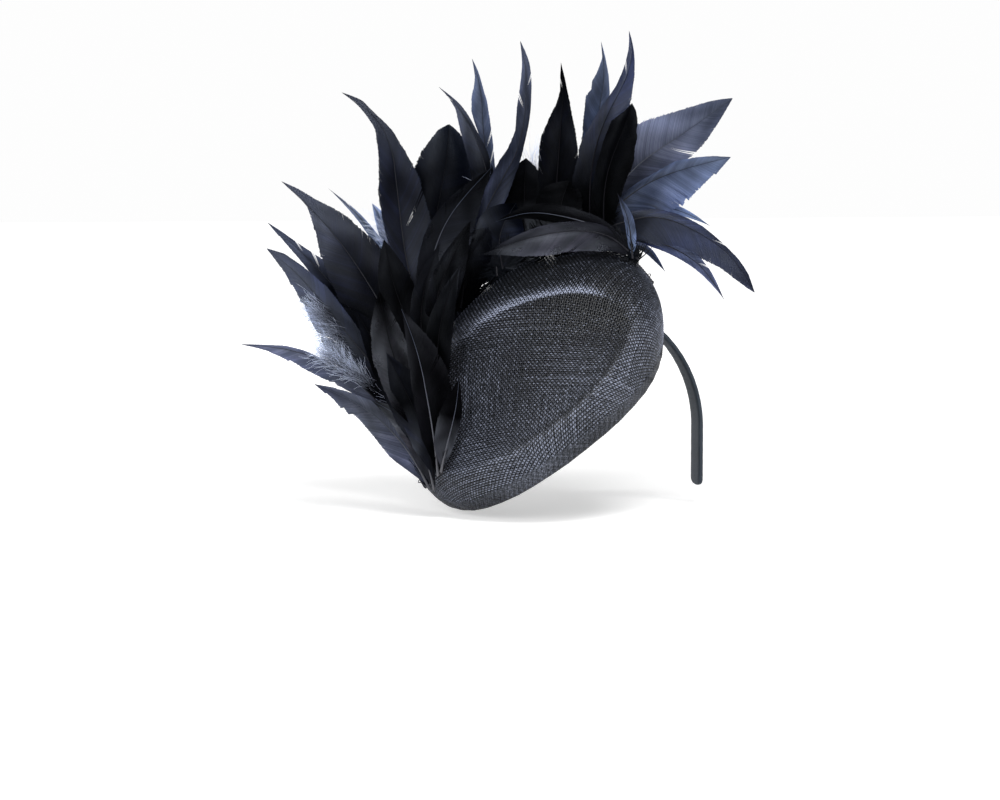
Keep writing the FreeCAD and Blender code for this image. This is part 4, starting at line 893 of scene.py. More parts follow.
# ---------------------------------------------------------------- feathers
# One block per feather, its fields divided by "/":
#   name, plume, half-width of the first and second side, place of the widest part (share of the
#   vane past the bare quill), strength of the tip's taper, bare length, notch depth of the first
#   and second side (0 for shallow random ones), then "dense" for thick barbs at the foot and
#   "pale" for a pale shaft;
#   x y z of the centre line from foot to tip;
#   red green blue tints near the foot, in the middle and near the tip;
#   for some, half-widths from quill to tip of the first side, then of the second. These take
#   the place of the shape made from the widest part and taper.
# The first side is on the left of the way the feather points, seen from the front.
FEATHER_TABLE = """
right_01 blue 2.9 2.9 .45 1.2 35 0 0 /
-3.9 24.2 114.7  5.2 22.2 116.5  14.4 20.4 118.4  23.6 18.8 120.6  32.6 17.4 123.1
41.8 16.2 125.5  51.1 14.9 126.7  60.5 13.7 125.8  69.6 12.5 123.0  78.2 11.4 119.1
86.5 10.4 114.5 /
.04 .04 .04  1.09 1.23 1.81  4 4 4

right_02 grey 15.5 12.6 .5 1 26.6 0 0 pale /
0.2 2.2 104.7  9.4 6.4 113.8  18.4 10.2 123.3  27.0 13.8 133.1  36.0 16.9 142.9
46.1 19.2 151.7  57.3 20.6 159.2  68.9 21.4 166.3  80.3 21.8 173.7  91.5 21.8 181.4
102.7 21.4 189.1 /
.06 .06 .11  1.34 1.30 1.40  .84 .82 .84 /
4.9 6.1 6.7 7.1 7.6 7.9 8.3 8.6 8.9 10.1 11.6 13.6 15.2 17.0 19.1 18.8 17.8 16.3 14.8 13.1
11.5 9.7 7.8 5.7 3.1 0 /
4.6 5.6 6.2 6.6 7.0 7.4 7.7 8.0 8.3 9.8 11.1 12.1 12.7 13.6 14.4 15.1 15.3 14.8 14.4 13.2
11.4 9.4 7.2 4.9 2.5 0

right_03 light 7.5 12.6 .5 1 29.8 0 .16 /
-3.3 1.0 104.1  6.0 1.6 110.9  15.2 2.3 117.7  24.2 3.3 124.8  33.3 4.4 131.9
42.9 5.5 138.1  53.3 6.4 143.0  64.1 7.2 146.7  75.2 8.0 149.7  86.4 8.8 152.4
97.6 9.7 154.9 /
.04 .04 .05  1.60 1.55 1.65  1.48 1.41 1.33 /
2.1 2.5 2.6 2.8 2.9 3.0 3.1 3.2 3.3 3.4 3.5 3.6 3.7 3.8 3.8 4.3 4.9 5.8 6.5 5.9
5.3 4.5 3.7 2.7 1.3 0 /
8.0 9.7 10.6 11.3 11.9 12.5 13.0 13.5 13.9 14.4 15.3 16.8 18.0 18.8 19.5 20.1 20.5 19.6 17.3
15.4 13.6 11.3 8.8 5.9 3.0 0

right_04 navy 6.3 8 .4 1.2 33.5 0 0 /
-10.5 1.0 108.3  2.4 -1.6 111.0  15.2 -3.9 114.1  28.0 -5.8 118.0  40.9 -7.7 120.8
54.1 -9.5 119.1  66.4 -11.2 114.0  78.0 -12.5 107.4  88.5 -13.6 99.1  96.9 -14.4 88.7
103.9 -15.0 77.2 /
.16 .17 .22  2.80 2.75 3.01  1.00 .90 1.10 /
2.8 3.4 3.7 4.0 4.2 4.4 4.6 4.8 4.9 5.1 4.8 5.2 4.7 4.9 5.0 4.8 4.6 3.8 3.2 2.7
2.4 2.7 2.6 2.2 1.1 0 /
6.1 7.6 8.3 9.0 9.5 10.0 10.4 10.8 11.5 13.5 14.8 15.3 15.6 15.7 15.4 14.8 13.9 12.8 11.6
10.8 9.6 8.4 7.1 5.3 3.1 0

right_05 blue 4 4 .45 1.1 2.3 0 0 /
24.2 0.9 112.9  31.3 -1.7 111.0  38.5 -4.2 109.2  45.7 -6.5 107.1  52.8 -8.7 104.6
59.6 -10.7 101.3  66.0 -12.4 97.2  71.8 -14.0 92.1  76.7 -15.2 86.1  81.0 -16.1 79.7
85.0 -16.9 73.0 /
.36 .36 .70  2.05 1.91 2.20  1.51 1.26 1.40

right_06 navy 2.3 2.3 .4 1.1 15 0 0 /
7.7 -6.4 105.2  12.7 -7.2 104.8  17.7 -7.9 104.5  22.8 -8.6 104.6  27.8 -9.1 105.0
32.9 -9.6 105.0  37.8 -10.0 103.8  41.9 -10.3 100.9  45.4 -10.5 97.2  48.6 -10.6 93.2
51.6 -10.7 89.1 /
3.30 3.20 3.86  4 4 4  4 4 4

right_07 blue 2.3 3.4 .35 1 3.5 0 0 /
25.2 -30.8 98.0  25.1 -29.7 101.9  25.1 -28.6 105.8  25.1 -27.3 109.6  25.1 -26.0 113.4
24.9 -24.6 117.2  24.5 -23.0 120.9  23.8 -21.2 124.5  22.8 -19.4 127.9  21.8 -17.5 131.3
20.7 -15.5 134.7 /
4 4 4  1.77 1.80 1.98  .10 .08 .12

top_01 blue 5.8 4.6 .62 1.1 23.5 0 0 dense /
-37.4 28.7 86.2  -37.2 33.6 98.6  -37.0 38.4 111.0  -36.8 42.9 123.6  -36.8 47.2 136.2
-37.2 51.5 148.8  -37.7 55.4 161.5  -37.9 59.1 174.3  -37.8 62.5 187.2  -38.9 65.9 200.0
-41.8 69.5 212.5 /
1.94 2.03 2.31  1.08 1.07 1.19  1.34 1.27 1.32 /
.2 .2 .2 .2 .2 .2 .2 .2 .2 .2 .2 .2 .2 .2 .2 1.0 2.4 4.0 5.4 6.6 6.3 5.0 3.0 1.5 .7 0 /
2.5 2.9 3.2 3.4 3.5 3.7 3.8 3.9 4.0 4.2 4.3 4.4 4.5 4.6 4.8 5.0 4.9 4.6 4.3 3.7
3.2 2.2 1.6 1.3 .8 0

top_02 light 7.5 5.8 .6 1 11.4 0 0 /
7.8 1.1 105.0  10.0 5.4 116.4  12.2 9.6 127.8  14.3 13.5 139.3  16.4 17.2 150.9
18.5 20.7 162.6  20.8 23.8 174.3  23.6 26.6 186.0  26.2 29.2 197.8  27.2 32.0 209.8
26.5 35.0 221.8 /
.04 .04 .04  .26 .29 .37  1.33 1.26 1.22 /
5.0 6.0 6.6 7.0 7.4 7.7 8.0 8.3 8.6 8.9 8.9 8.5 8.2 7.9 7.9 8.1 8.3 8.6 8.9 6.6
6.7 4.5 2.6 .7 .4 0 /
3.7 4.4 4.8 5.2 5.5 5.7 6.0 6.2 6.4 6.6 6.8 7.0 7.2 7.4 7.4 7.3 7.1 6.5 5.5 4.4
3.5 2.8 1.8 1.2 .6 0

left_01 blue 2.9 2.3 .55 1.1 4.2 0 0 /
-75.5 38.9 43.3  -79.0 43.2 53.5  -82.4 47.5 63.9  -85.8 51.8 74.2  -89.4 56.1 84.4
-93.5 60.5 94.4  -98.2 65.0 104.1  -103.6 69.7 113.3  -110.0 74.6 121.8  -117.3 79.5 129.5
-124.9 84.4 136.8 /
.04 .04 .05  4 4 4  3.09 2.52 2.07

left_02 navy 14.375 15.125 .5 1.15 0 0 0 /
-84.0 30.1 30.5  -89.8 33.2 42.9  -95.6 36.8 55.3  -101.5 40.6 67.4  -107.7 44.9 79.3
-114.2 49.5 90.9  -121.1 54.6 102.1  -128.5 60.0 112.7  -136.5 65.9 122.8  -145.0 72.0 132.1
-153.8 78.5 141.0 /
.06 .05 .06  .29 .28 .46  2.24 1.92 1.93 /
9.8 12.6 14.0 15.2 16.2 17.1 17.9 18.4 18.8 19.1 19.2 18.8 18.2 17.6 16.6 15.3 13.8 11.4 8.5
6.0 3.3 .8 .2 .2 .2 0 /
10.8 12.9 13.9 14.8 15.5 16.2 16.8 17.4 18.0 18.5 19.0 19.5 19.3 18.9 18.4 16.9 15.5 14.0 12.6
10.6 7.9 5.9 4.6 3.4 1.7 0

left_03 blue 6.5 8.625 .5 1.1 0 .18 0 /
-89.2 20.4 19.9  -95.4 27.6 29.5  -101.6 34.4 39.3  -107.9 40.7 49.4  -114.1 46.5 59.8
-120.6 51.9 70.3  -127.6 56.8 80.7  -135.5 61.5 90.5  -144.2 65.7 99.9  -153.5 69.6 108.8
-163.2 72.9 117.5 /
.04 .04 .04  .05 .05 .06  1.35 1.18 1.20 /
3.5 4.0 4.3 4.6 4.7 4.9 5.1 5.2 5.4 5.5 5.7 5.8 5.9 6.0 6.1 6.3 6.4 6.0 5.6 5.0
4.3 3.7 2.9 1.9 1.0 0 /
5.3 6.1 6.5 6.9 7.2 7.4 7.7 7.9 8.1 8.4 8.6 8.7 8.9 9.1 9.3 9.5 9.3 7.4 5.6 4.4
3.4 2.6 2.0 1.5 .8 0

left_04 navy 10.75 12.25 .5 1.15 0 .16 0 /
-93.8 6.2 7.0  -100.5 8.7 17.8  -107.4 11.6 28.4  -114.5 14.9 38.7  -121.9 18.5 48.7
-129.3 22.5 58.5  -136.6 26.7 68.4  -143.8 31.3 78.1  -151.4 36.2 87.4  -159.7 41.6 95.7
-168.5 47.2 103.3 /
.13 .14 .22  1.58 1.59 1.74  2.71 2.24 1.85 /
8.9 10.9 11.9 12.7 13.5 14.1 14.8 15.3 15.9 15.9 15.4 14.9 14.4 13.8 13.2 12.7 11.4 10.2 8.8
7.9 6.9 5.4 3.9 2.6 1.3 0 /
4.4 5.1 5.4 5.7 5.9 6.1 6.3 6.5 6.7 6.9 7.0 7.2 7.3 7.5 7.6 7.8 7.9 7.9 7.0 6.3
5.8 5.2 4.5 3.9 2.0 0

left_05 slate 4.2 10.75 .5 1.1 0 .20 0 /
-94.3 4.2 -9.8  -99.1 7.0 -0.3  -103.9 10.0 9.1  -108.7 13.3 18.4  -113.6 16.8 27.5
-118.7 20.7 36.4  -124.1 24.8 45.0  -129.9 29.2 53.2  -136.0 33.9 61.0  -142.2 38.9 68.5
-148.5 44.0 75.9 /
1.18 1.08 1.18  2.97 2.89 3.24  4 4 4

left_06 slate 8.625 6.5 .45 1.3 0 .24 0 /
-91.2 -4.4 -22.6  -96.6 -2.9 -10.2  -102.6 -1.0 1.7  -109.8 1.6 12.9  -118.2 4.9 23.0
-127.8 8.9 31.7  -138.5 13.4 38.7  -150.0 18.4 43.7  -162.1 23.8 47.0  -174.3 29.3 48.7
-186.5 35.1 49.7 /
.91 .79 .75  2.60 2.40 2.36  2.87 2.55 2.46 /
2.0 2.4 2.6 2.8 2.9 3.1 3.2 3.3 3.4 3.6 5.2 6.5 7.5 8.3 8.8 9.1 9.4 9.4 8.7 7.1
5.4 4.1 2.4 1.5 .8 0 /
.2 .2 .2 .2 .2 .2 .2 .2 .2 .2 .2 .2 .2 .2 .4 1.0 1.2 1.5 2.1 2.1 2.2 1.5 1.1 .7 .4 0

left_07 slate 12.25 6.5 .5 1.1 0 .30 .22 pale /
-87.1 -11.6 -30.9  -91.2 -11.0 -22.7  -95.5 -9.9 -14.7  -100.4 -8.5 -7.1  -105.9 -6.6 -0.1
-112.0 -4.3 6.4  -118.5 -1.5 12.1  -125.5 1.7 17.0  -132.9 5.2 21.2  -140.4 8.9 24.8
-148.0 13.0 28.0 /
3.88 3.44 3.27  1.93 1.71 1.45  .76 .69 .81 /
.3 .5 1.6 3.5 5.3 7.0 8.4 9.7 10.7 11.0 11.1 11.1 10.9 10.6 10.2 9.6 8.8 8.3 7.7 7.1
6.0 4.8 3.6 2.4 1.2 0 /
4.3 5.1 5.5 5.8 6.0 6.3 6.5 6.7 7.0 7.1 7.3 7.5 7.7 7.6 7.0 6.6 6.3 5.7 5.1 4.6
4.1 3.3 2.4 1.6 .8 0

left_08 brown 6.5 5.75 .5 1.1 0 0 0 pale /
-88.2 -25.7 -29.2  -89.8 -26.2 -22.8  -91.5 -26.2 -16.5  -93.5 -25.7 -10.3  -96.0 -24.6 -4.3
-99.0 -23.0 1.3  -102.5 -20.8 6.5  -106.4 -18.1 11.0  -110.8 -15.0 14.7  -115.6 -11.5 17.6
-120.4 -7.9 20.1 /
1.07 1.01 1.08  1.65 1.48 1.47  .10 .10 .10

left_09 light 6.9 7.5 .5 .8 8.5 .12 0 /
-67.7 36.7 55.5  -71.3 39.8 63.0  -74.8 43.0 70.4  -78.3 46.4 77.7  -81.7 49.9 85.0
-85.1 53.6 92.3  -88.4 57.4 99.6  -91.6 61.3 106.8  -94.8 65.3 113.9  -97.9 69.5 121.1
-101.0 73.7 128.1 /
.79 .73 .87  1.55 1.36 1.85  2.95 2.82 2.77

left_10 navy 10.3 10.3 .45 1.25 5.9 0 0 /
-71.6 37.5 50.3  -77.5 40.6 65.0  -83.0 44.0 79.8  -86.4 47.3 95.3  -88.2 50.5 111.0
-89.4 53.8 126.7  -90.4 57.5 142.4  -91.8 61.5 157.9  -96.7 66.8 172.3  -106.0 73.1 183.8
-117.8 79.8 192.5 /
.83 .76 .93  .30 .30 .42  1.32 1.15 1.05 /
4.4 5.7 6.4 7.0 7.4 7.9 7.9 8.1 8.6 9.3 10.1 10.9 11.3 11.7 11.6 10.5 9.9 9.2 8.2 7.0
4.8 3.6 2.6 1.5 .6 0 /
8.6 11.3 12.7 13.8 14.8 15.7 16.6 17.2 17.6 17.8 17.6 16.9 16.1 15.3 14.3 13.2 11.0 8.5 6.4
5.0 3.4 2.2 2.1 2.7 1.6 0

left_11 navy 13.2 12.1 .55 .55 12 0 0 /
-60.9 33.9 64.8  -63.2 37.3 75.7  -66.0 40.9 86.4  -68.4 44.6 97.2  -69.2 48.1 108.3
-67.9 51.2 119.4  -65.4 54.1 130.4  -62.5 57.0 141.3  -59.8 60.1 152.2  -57.7 63.6 163.1
-56.2 67.4 174.1 /
.14 .13 .17  .07 .08 .12  .37 .38 .33 /
6.6 8.3 9.2 9.9 10.5 11.1 11.6 11.9 11.5 11.5 11.8 12.4 13.0 13.8 14.8 15.6 16.1 16.6 17.2
16.4 15.5 14.5 12.1 9.6 6.6 0 /
7.9 10.4 11.7 12.7 13.6 14.7 17.5 19.8 21.7 23.1 24.1 24.7 25.0 25.2 25.2 25.2 25.0 24.7 23.4
22.1 20.9 17.5 14.3 10.8 7.1 0

left_12 navy 5.2 5.2 .5 1.1 28.3 0 0 dense /
-61.2 32.8 65.1  -56.5 34.2 78.9  -51.3 35.6 92.5  -45.7 37.0 105.9  -41.2 38.9 119.6
-39.0 41.8 133.7  -39.7 45.6 147.8  -42.8 50.2 161.3  -47.6 55.2 174.1  -54.2 60.6 185.9
-63.1 66.2 196.0 /
1.01 .99 1.44  .08 .08 .10  1.78 1.61 1.72 /
4.6 5.4 5.8 6.2 6.5 6.7 7.0 7.2 7.4 7.6 7.8 8.0 8.2 8.4 8.9 9.0 8.8 8.4 7.9 7.1
5.9 4.1 1.9 1.0 .2 0 /
3.0 3.5 3.8 4.0 4.2 4.4 4.5 4.7 4.8 4.9 5.1 5.2 5.3 5.4 4.5 4.1 3.8 3.6 3.0 2.5
2.5 2.4 2.1 1.3 .7 0

top_03 slate 5.8 5.8 .45 1.1 27.9 0 0 dense /
-63.7 31.7 62.9  -58.0 33.1 78.8  -52.7 34.5 94.9  -47.4 35.9 111.0  -40.8 36.8 126.6
-32.5 37.2 141.4  -24.2 37.6 156.2  -19.2 38.9 172.3  -17.0 41.0 189.0  -16.5 43.6 205.8
-18.9 46.7 222.3 /
1.12 1.11 1.43  .38 .39 .45  1.48 1.41 1.41 /
3.1 4.0 4.4 4.8 5.1 5.4 5.6 5.4 5.3 5.3 5.6 6.1 6.4 6.8 6.8 5.7 4.9 4.0 4.7 4.9
4.3 3.6 2.7 1.6 .7 0 /
4.2 5.3 5.9 6.4 6.8 7.1 7.5 8.0 8.4 8.6 8.3 7.8 7.1 6.0 4.7 3.8 3.1 3.0 3.0 3.2
3.2 3.2 3.0 2.7 1.6 0

top_04 navy 10.3 8 .5 1.2 4.3 0 0 dense /
-13.5 -1.1 102.4  -11.8 1.9 113.3  -10.1 5.0 124.2  -8.3 8.3 135.0  -6.5 11.7 145.8
-4.6 15.3 156.5  -2.7 19.0 167.2  -0.8 22.8 177.9  1.1 26.7 188.4  2.3 31.0 199.0
2.5 35.5 209.5 /
.04 .04 .04  .11 .10 .13  .04 .04 .04 /
6.0 7.7 8.5 9.2 9.9 10.4 10.8 10.9 10.9 10.9 11.0 11.1 11.3 11.3 11.1 10.7 9.2 7.8 6.0 4.1
2.9 1.7 1.7 1.4 .7 0 /
6.7 8.5 9.4 10.2 10.9 11.5 12.0 12.2 12.3 12.4 12.5 12.1 11.7 11.2 10.7 9.5 8.4 7.2 6.0 4.8
3.7 2.7 1.8 1.1 .5 0

top_05 navy 8 6.9 .5 1.15 2.9 0 0 /
8.1 -5.0 105.2  8.4 -3.2 118.2  8.9 -1.1 131.1  10.2 1.1 143.9  13.0 3.2 156.5
17.2 5.2 168.8  22.8 7.0 180.4  29.4 8.8 191.7  35.4 11.0 203.1  38.7 14.3 215.2
38.3 18.7 227.5 /
.04 .04 .04  .67 .80 1.41  1.92 2.14 3.10 /
5.8 7.2 8.0 8.6 9.1 9.6 10.1 10.5 10.0 9.6 9.5 8.9 7.8 6.9 6.3 5.5 4.7 4.0 3.3 3.5
3.4 3.2 2.7 1.9 .9 0 /
5.6 6.9 7.6 8.2 8.7 9.1 9.5 9.9 10.5 11.2 11.6 11.8 11.8 11.7 11.4 11.0 9.9 8.6 7.1 5.4
4.0 2.6 1.5 .8 .5 0

top_06 black 12.25 10.75 .5 .9 4.1 0 0 /
15.1 -9.1 104.1  15.3 -7.9 112.7  15.5 -6.6 121.2  16.0 -5.2 129.7  17.2 -3.8 138.1
19.2 -2.5 146.4  22.1 -1.3 154.4  25.6 -0.1 162.2  29.3 1.2 169.9  32.7 2.7 177.7
35.7 4.5 185.6 /
.04 .04 .04  .05 .05 .07  .10 .10 .14 /
4.3 5.3 5.9 6.3 6.7 7.0 7.3 7.6 7.8 7.3 7.0 6.8 6.8 7.0 7.0 7.2 7.4 7.8 7.9 7.9
7.9 7.8 5.7 3.4 1.6 0 /
4.6 5.7 6.3 6.8 7.2 7.6 8.0 8.3 9.3 10.2 11.0 11.7 12.4 13.0 13.5 13.7 13.6 13.0 11.2 10.5
10.0 7.6 7.1 5.5 3.5 0

top_07 black 16.34 15.2 .5 .9 3.7 0 0 /
1.6 -0.9 104.6  3.0 0.3 110.3  4.4 1.6 116.0  5.9 3.2 121.5  7.4 4.9 127.1
9.0 6.8 132.5  10.6 8.8 137.9  12.3 10.9 143.3  13.9 13.3 148.5  15.6 15.7 153.7
17.3 18.2 158.9 /
.06 .05 .05  .04 .04 .04  .04 .04 .04

top_08 black 17.48 16.34 .5 .8 6.4 0 0 dense /
-20.7 31.2 95.1  -20.6 31.8 101.1  -20.4 32.4 107.0  -20.3 33.1 113.0  -20.1 33.9 118.9
-19.8 34.7 124.9  -19.4 35.6 130.8  -19.0 36.6 136.7  -18.4 37.6 142.6  -17.8 38.6 148.4
-17.2 39.8 154.3 /
.54 .44 .54  .05 .04 .05  .13 .11 .15

top_09 brown 14.25 13.11 .55 .6 3 0 .10 /
-7.3 -1.5 103.5  -7.5 -1.4 107.5  -7.9 -1.0 111.6  -8.2 -0.5 115.5  -8.2 0.3 119.5
-7.9 1.2 123.4  -7.1 2.2 127.3  -5.8 3.3 131.0  -4.3 4.5 134.5  -2.6 5.8 137.9
-0.8 7.2 141.3 /
.58 .48 .51  .04 .04 .04  .04 .04 .04

sweep_01 brown 4.6 6.3 .5 1 7.3 0 0 pale /
31.8 -22.2 97.0  24.8 -21.3 102.6  18.1 -20.1 108.4  11.1 -18.7 113.8  3.3 -17.0 117.7
-5.1 -15.0 120.3  -13.5 -12.8 122.2  -22.0 -10.3 123.5  -30.6 -7.7 123.3  -38.9 -5.1 121.3
-47.0 -2.4 118.5 /
.24 .22 .28  .05 .04 .05  .04 .04 .04

sweep_02 satin 12.075 5.52 .5 1 2.2 0 0 /
29.3 -29.9 97.1  22.3 -28.1 103.4  15.0 -26.3 109.3  6.4 -24.2 112.7  -2.9 -22.0 113.7
-12.2 -19.7 113.2  -21.4 -17.4 111.8  -30.4 -15.0 109.6  -39.2 -12.6 106.8  -47.9 -10.0 103.6
-56.4 -7.4 100.2 /
.325 .2875 .35  1.3375 1.1375 1.2  .0875 .0875 .125

inner_01 black 10.005 11.6 .5 .8 0 0 0 /
-83.2 4.1 34.1  -86.5 4.5 41.4  -89.6 5.1 48.7  -92.7 6.0 56.0  -95.7 7.1 63.4
-98.4 8.4 70.8  -100.9 9.8 78.3  -102.9 11.4 85.8  -104.5 13.2 93.5  -105.6 15.0 101.2
-106.6 17.1 108.8 /
.28 .23 .26  .05 .04 .06  .14 .11 .14

inner_02 satin 8.41 18.27 .45 1 11.6 0 0 pale /
-76.7 32.2 44.6  -76.3 32.4 56.4  -76.3 33.0 68.1  -76.1 34.0 79.9  -75.0 35.0 91.6
-72.1 35.9 103.0  -67.5 36.6 113.8  -61.3 37.1 123.8  -53.8 37.5 132.9  -45.7 38.0 141.4
-37.3 38.6 149.7 /
.17 .16 .20  .20 .21 .28  .04 .04 .04

inner_03 satin 6.67 10.875 .45 1 0 0 0 /
-77.9 9.2 46.1  -79.4 5.3 53.4  -80.5 2.1 61.0  -80.9 -0.5 69.0  -80.2 -2.3 77.1
-78.0 -3.2 85.1  -74.8 -3.0 92.8  -70.9 -1.7 100.1  -66.8 0.7 107.0  -62.6 3.9 113.4
-58.3 7.8 119.4 /
.08 .08 .10  .07 .07 .08  .04 .04 .04

inner_04 black 6.67 8.41 .5 1 0 0 0 /
-85.5 -10.2 26.3  -86.5 -6.1 33.8  -87.5 -2.5 41.6  -88.3 0.4 49.6  -88.6 2.6 57.9
-88.3 4.0 66.5  -87.4 4.5 75.0  -85.9 4.0 83.5  -83.7 2.6 91.7  -81.3 0.5 99.7
-78.8 -2.2 107.5 /
.04 .04 .04  .16 .16 .21  .34 .30 .39

inner_05 satin 11.6 10.005 .5 .9 0 0 0 /
-94.3 -27.3 -1.0  -97.0 -26.0 7.2  -99.7 -24.5 15.5  -102.4 -22.6 23.7  -105.0 -20.6 31.8
-107.5 -18.4 40.0  -109.6 -15.9 48.1  -111.4 -13.4 56.4  -112.7 -10.7 64.6  -113.7 -7.9 72.9
-114.4 -4.9 81.2 /
.035 .025 .035  .425 .35 .345  .02 .02 .02

inner_06 navy 9.135 12.47 .5 1 0 0 0 /
-93.1 -27.2 -13.3  -96.0 -25.9 -4.3  -98.9 -24.4 4.7  -101.9 -22.6 13.5  -105.1 -20.5 22.3
-108.6 -18.1 30.8  -112.2 -15.4 39.2  -116.0 -12.5 47.4  -120.0 -9.2 55.5  -124.0 -5.8 63.4
-128.1 -2.1 71.2 /
.29 .25 .29  .04 .04 .04  .05 .04 .06

inner_07 navy 10.005 11.6 .5 .9 0 0 0 /
-89.8 -32.0 -22.9  -90.7 -31.7 -15.3  -91.9 -31.1 -7.8  -93.6 -30.2 -0.4  -95.9 -29.0 6.8
-98.6 -27.6 13.8  -101.5 -25.9 20.6  -104.5 -24.1 27.4  -107.4 -22.1 34.1  -110.4 -19.9 40.8
-113.4 -17.6 47.4 /
.51 .46 .62  .04 .04 .04  .27 .21 .21

inner_08 brown 7.54 14.935 .45 1 0 0 0 pale /
-87.9 -33.7 -20.5  -89.0 -34.2 -11.0  -90.2 -34.5 -1.6  -91.6 -34.5 7.9  -93.1 -34.2 17.3
-94.7 -33.6 26.7  -96.3 -32.8 36.1  -98.3 -31.6 45.4  -100.8 -30.1 54.5  -103.7 -28.2 63.4
-106.8 -26.1 72.2 /
.084 .078 .114  .12 .096 .12  .198 .174 .198

inner_09 brown 8.41 4.205 .5 .9 0 0 0 pale /
-87.0 -37.0 -18.0  -86.2 -38.1 -12.8  -85.3 -39.2 -7.7  -84.3 -40.2 -2.6  -83.2 -41.2 2.5
-82.1 -42.1 7.7  -81.1 -42.9 12.8  -80.2 -43.6 18.0  -79.6 -44.2 23.3  -79.1 -44.6 28.6
-78.7 -44.9 33.9 /
1.3475 1.274 1.3825  .0385 .035 .0455  .084 .063 .0665

inner_10 black 7.54 7.54 .45 1 0 0 0 /
-83.2 -19.5 14.7  -84.1 -20.0 23.0  -84.9 -20.4 31.4  -85.2 -20.8 39.7  -85.0 -21.2 48.1
-84.3 -21.6 56.5  -82.9 -22.0 64.8  -80.8 -22.4 72.9  -78.2 -22.8 80.9  -75.2 -23.1 88.7
-72.0 -23.4 96.5 /
.10 .08 .10  .08 .08 .10  .27 .26 .29

inner_11 black 10.12 13.86 .5 .8 4.6 0 0 dense /
-58.6 30.4 68.6  -57.8 30.5 73.7  -57.1 30.6 78.8  -56.5 30.9 84.0  -55.6 31.2 89.1
-54.3 31.4 94.1  -52.2 31.5 98.8  -49.6 31.5 103.3  -46.5 31.4 107.5  -43.2 31.3 111.5
-39.8 31.3 115.4 /
.10 .08 .10  .17 .16 .22  .24 .26 .41

inner_12 navy 15.18 15.18 .5 .8 0 0 0 dense /
-33.6 29.9 90.1  -34.4 30.0 94.1  -35.1 30.2 98.2  -35.6 30.5 102.2  -35.6 30.6 106.3
-35.0 30.8 110.4  -33.8 30.8 114.3  -32.2 30.8 118.1  -30.2 30.7 121.6  -28.0 30.7 125.1
-25.7 30.7 128.5 /
.51 .54 .77  .73 .71 .71  .07 .10 .11
"""
# brightest tint of the short barbs round the quill: their own dark colour with painted shade where
# the feathers meet the crown
FOOT_TINT_SHADED = {"navy": 0.7, "black": 0.5, "blue": 0.12, "light": 0.10, "grey": 0.08,
             "slate": 0.25, "brown": 0.5, "satin": 0.35}
LINE_SHARE = np.linspace(0, 1, 160)  # stations on a feather's centre line
QUILL = 0.045  # share of the length below the first barb
BARB_SPACING = 0.62
BARB_STATIONS = 8
FOOT_STATIONS = 7


class Feather:
    """A block of FEATHER_TABLE, with its centre line and the directions along it."""

    def __init__(self, index, block):
        head, *fields = block.split("/")
        name, self.kind, *words = head.split()
        self.index, self.name = index, "feather_" + name
        numbers = [float(word) for word in words[:7]]
        self.widths, self.notches = numbers[:2], numbers[5:]
        peak, self.taper, bare = numbers[2:5]
        self.dense, self.pale = "dense" in words, "pale" in words
        path, tints, *self.outlines = [np.array(field.split(), float) for field in fields]
        self.path, self.tints = path.reshape(-1, 3), tints.reshape(3, 3)
        self.line, self.length = along(self.path, len(LINE_SHARE))
        self.peak = (bare + peak * (self.length - bare)) / self.length
        self.tangent = unit(np.gradient(self.line, axis=0))
        normal = unit(np.cross(self.tangent, unit(np.cross(TO_CAMERA, self.tangent))))
        normal = normal * np.sign(normal @ TO_CAMERA)[:, None]
        left = unit(np.cross(normal, self.tangent))
        self.rand = rand = np.random.default_rng(100 + index)
        twist = rand.uniform(-0.16, 0.16) + rand.uniform(-0.40, 0.40) * (LINE_SHARE - 0.3)
        cos, sin = np.cos(twist)[:, None], np.sin(twist)[:, None]
        self.left, self.normal = left * cos + normal * sin, normal * cos - left * sin
        self.cup = rand.uniform(0.12, 0.38) * rand.choice([1, 1, 1, -1])
        self.wave = rand.uniform(0.03, 0.08)
        # one side of the vane is painted lighter and the other darker, a painted shade across the
        # shaft
        self.side_painted_shade = rand.uniform(0.03, 0.10) * rand.choice([-1, 1])
        self.phase = rand.uniform(0, 6.28)

    def at(self, share, rows):
        return interp_rows(share, LINE_SHARE, rows)

    def half_width(self, share, side, widest):
        if self.outlines:
            outline = self.outlines[side]
            return np.interp(share, np.linspace(0, 1, len(outline)), outline)
        s = (share - QUILL) / (1 - QUILL)
        widening = 0.55 + 0.45 * np.sin(math.pi / 2 * np.clip(s / self.peak, 0, 1)) ** 0.8
        past = rise(s, self.peak, 1 - self.peak)
        return np.where(s < self.peak, widening, (1 - past ** 2.1) ** (1.30 * self.taper)) * widest


def notch(share, depth, rand):
    """Share of the width left by a few stepped cuts along the vane's edge."""
    cuts = rand.uniform(0.22, 0.93, rand.integers(4, 7) if depth else rand.integers(2, 5))
    cuts = np.concatenate([[0.0], np.sort(cuts), [1.0]])
    depths = rand.uniform(0.6, 1.0, len(cuts)) * (depth or rand.uniform(0.03, 0.09))
    depths[0] *= 0.3
    depths[-2] *= 0.4
    k = np.clip(np.searchsorted(cuts, share, side="right") - 1, 0, len(cuts) - 2)
    within = (share - cuts[k]) / np.maximum(cuts[k + 1] - cuts[k], 1e-6)
    return 1 - depths[k] * np.clip(within, 0, 1) ** 0.8


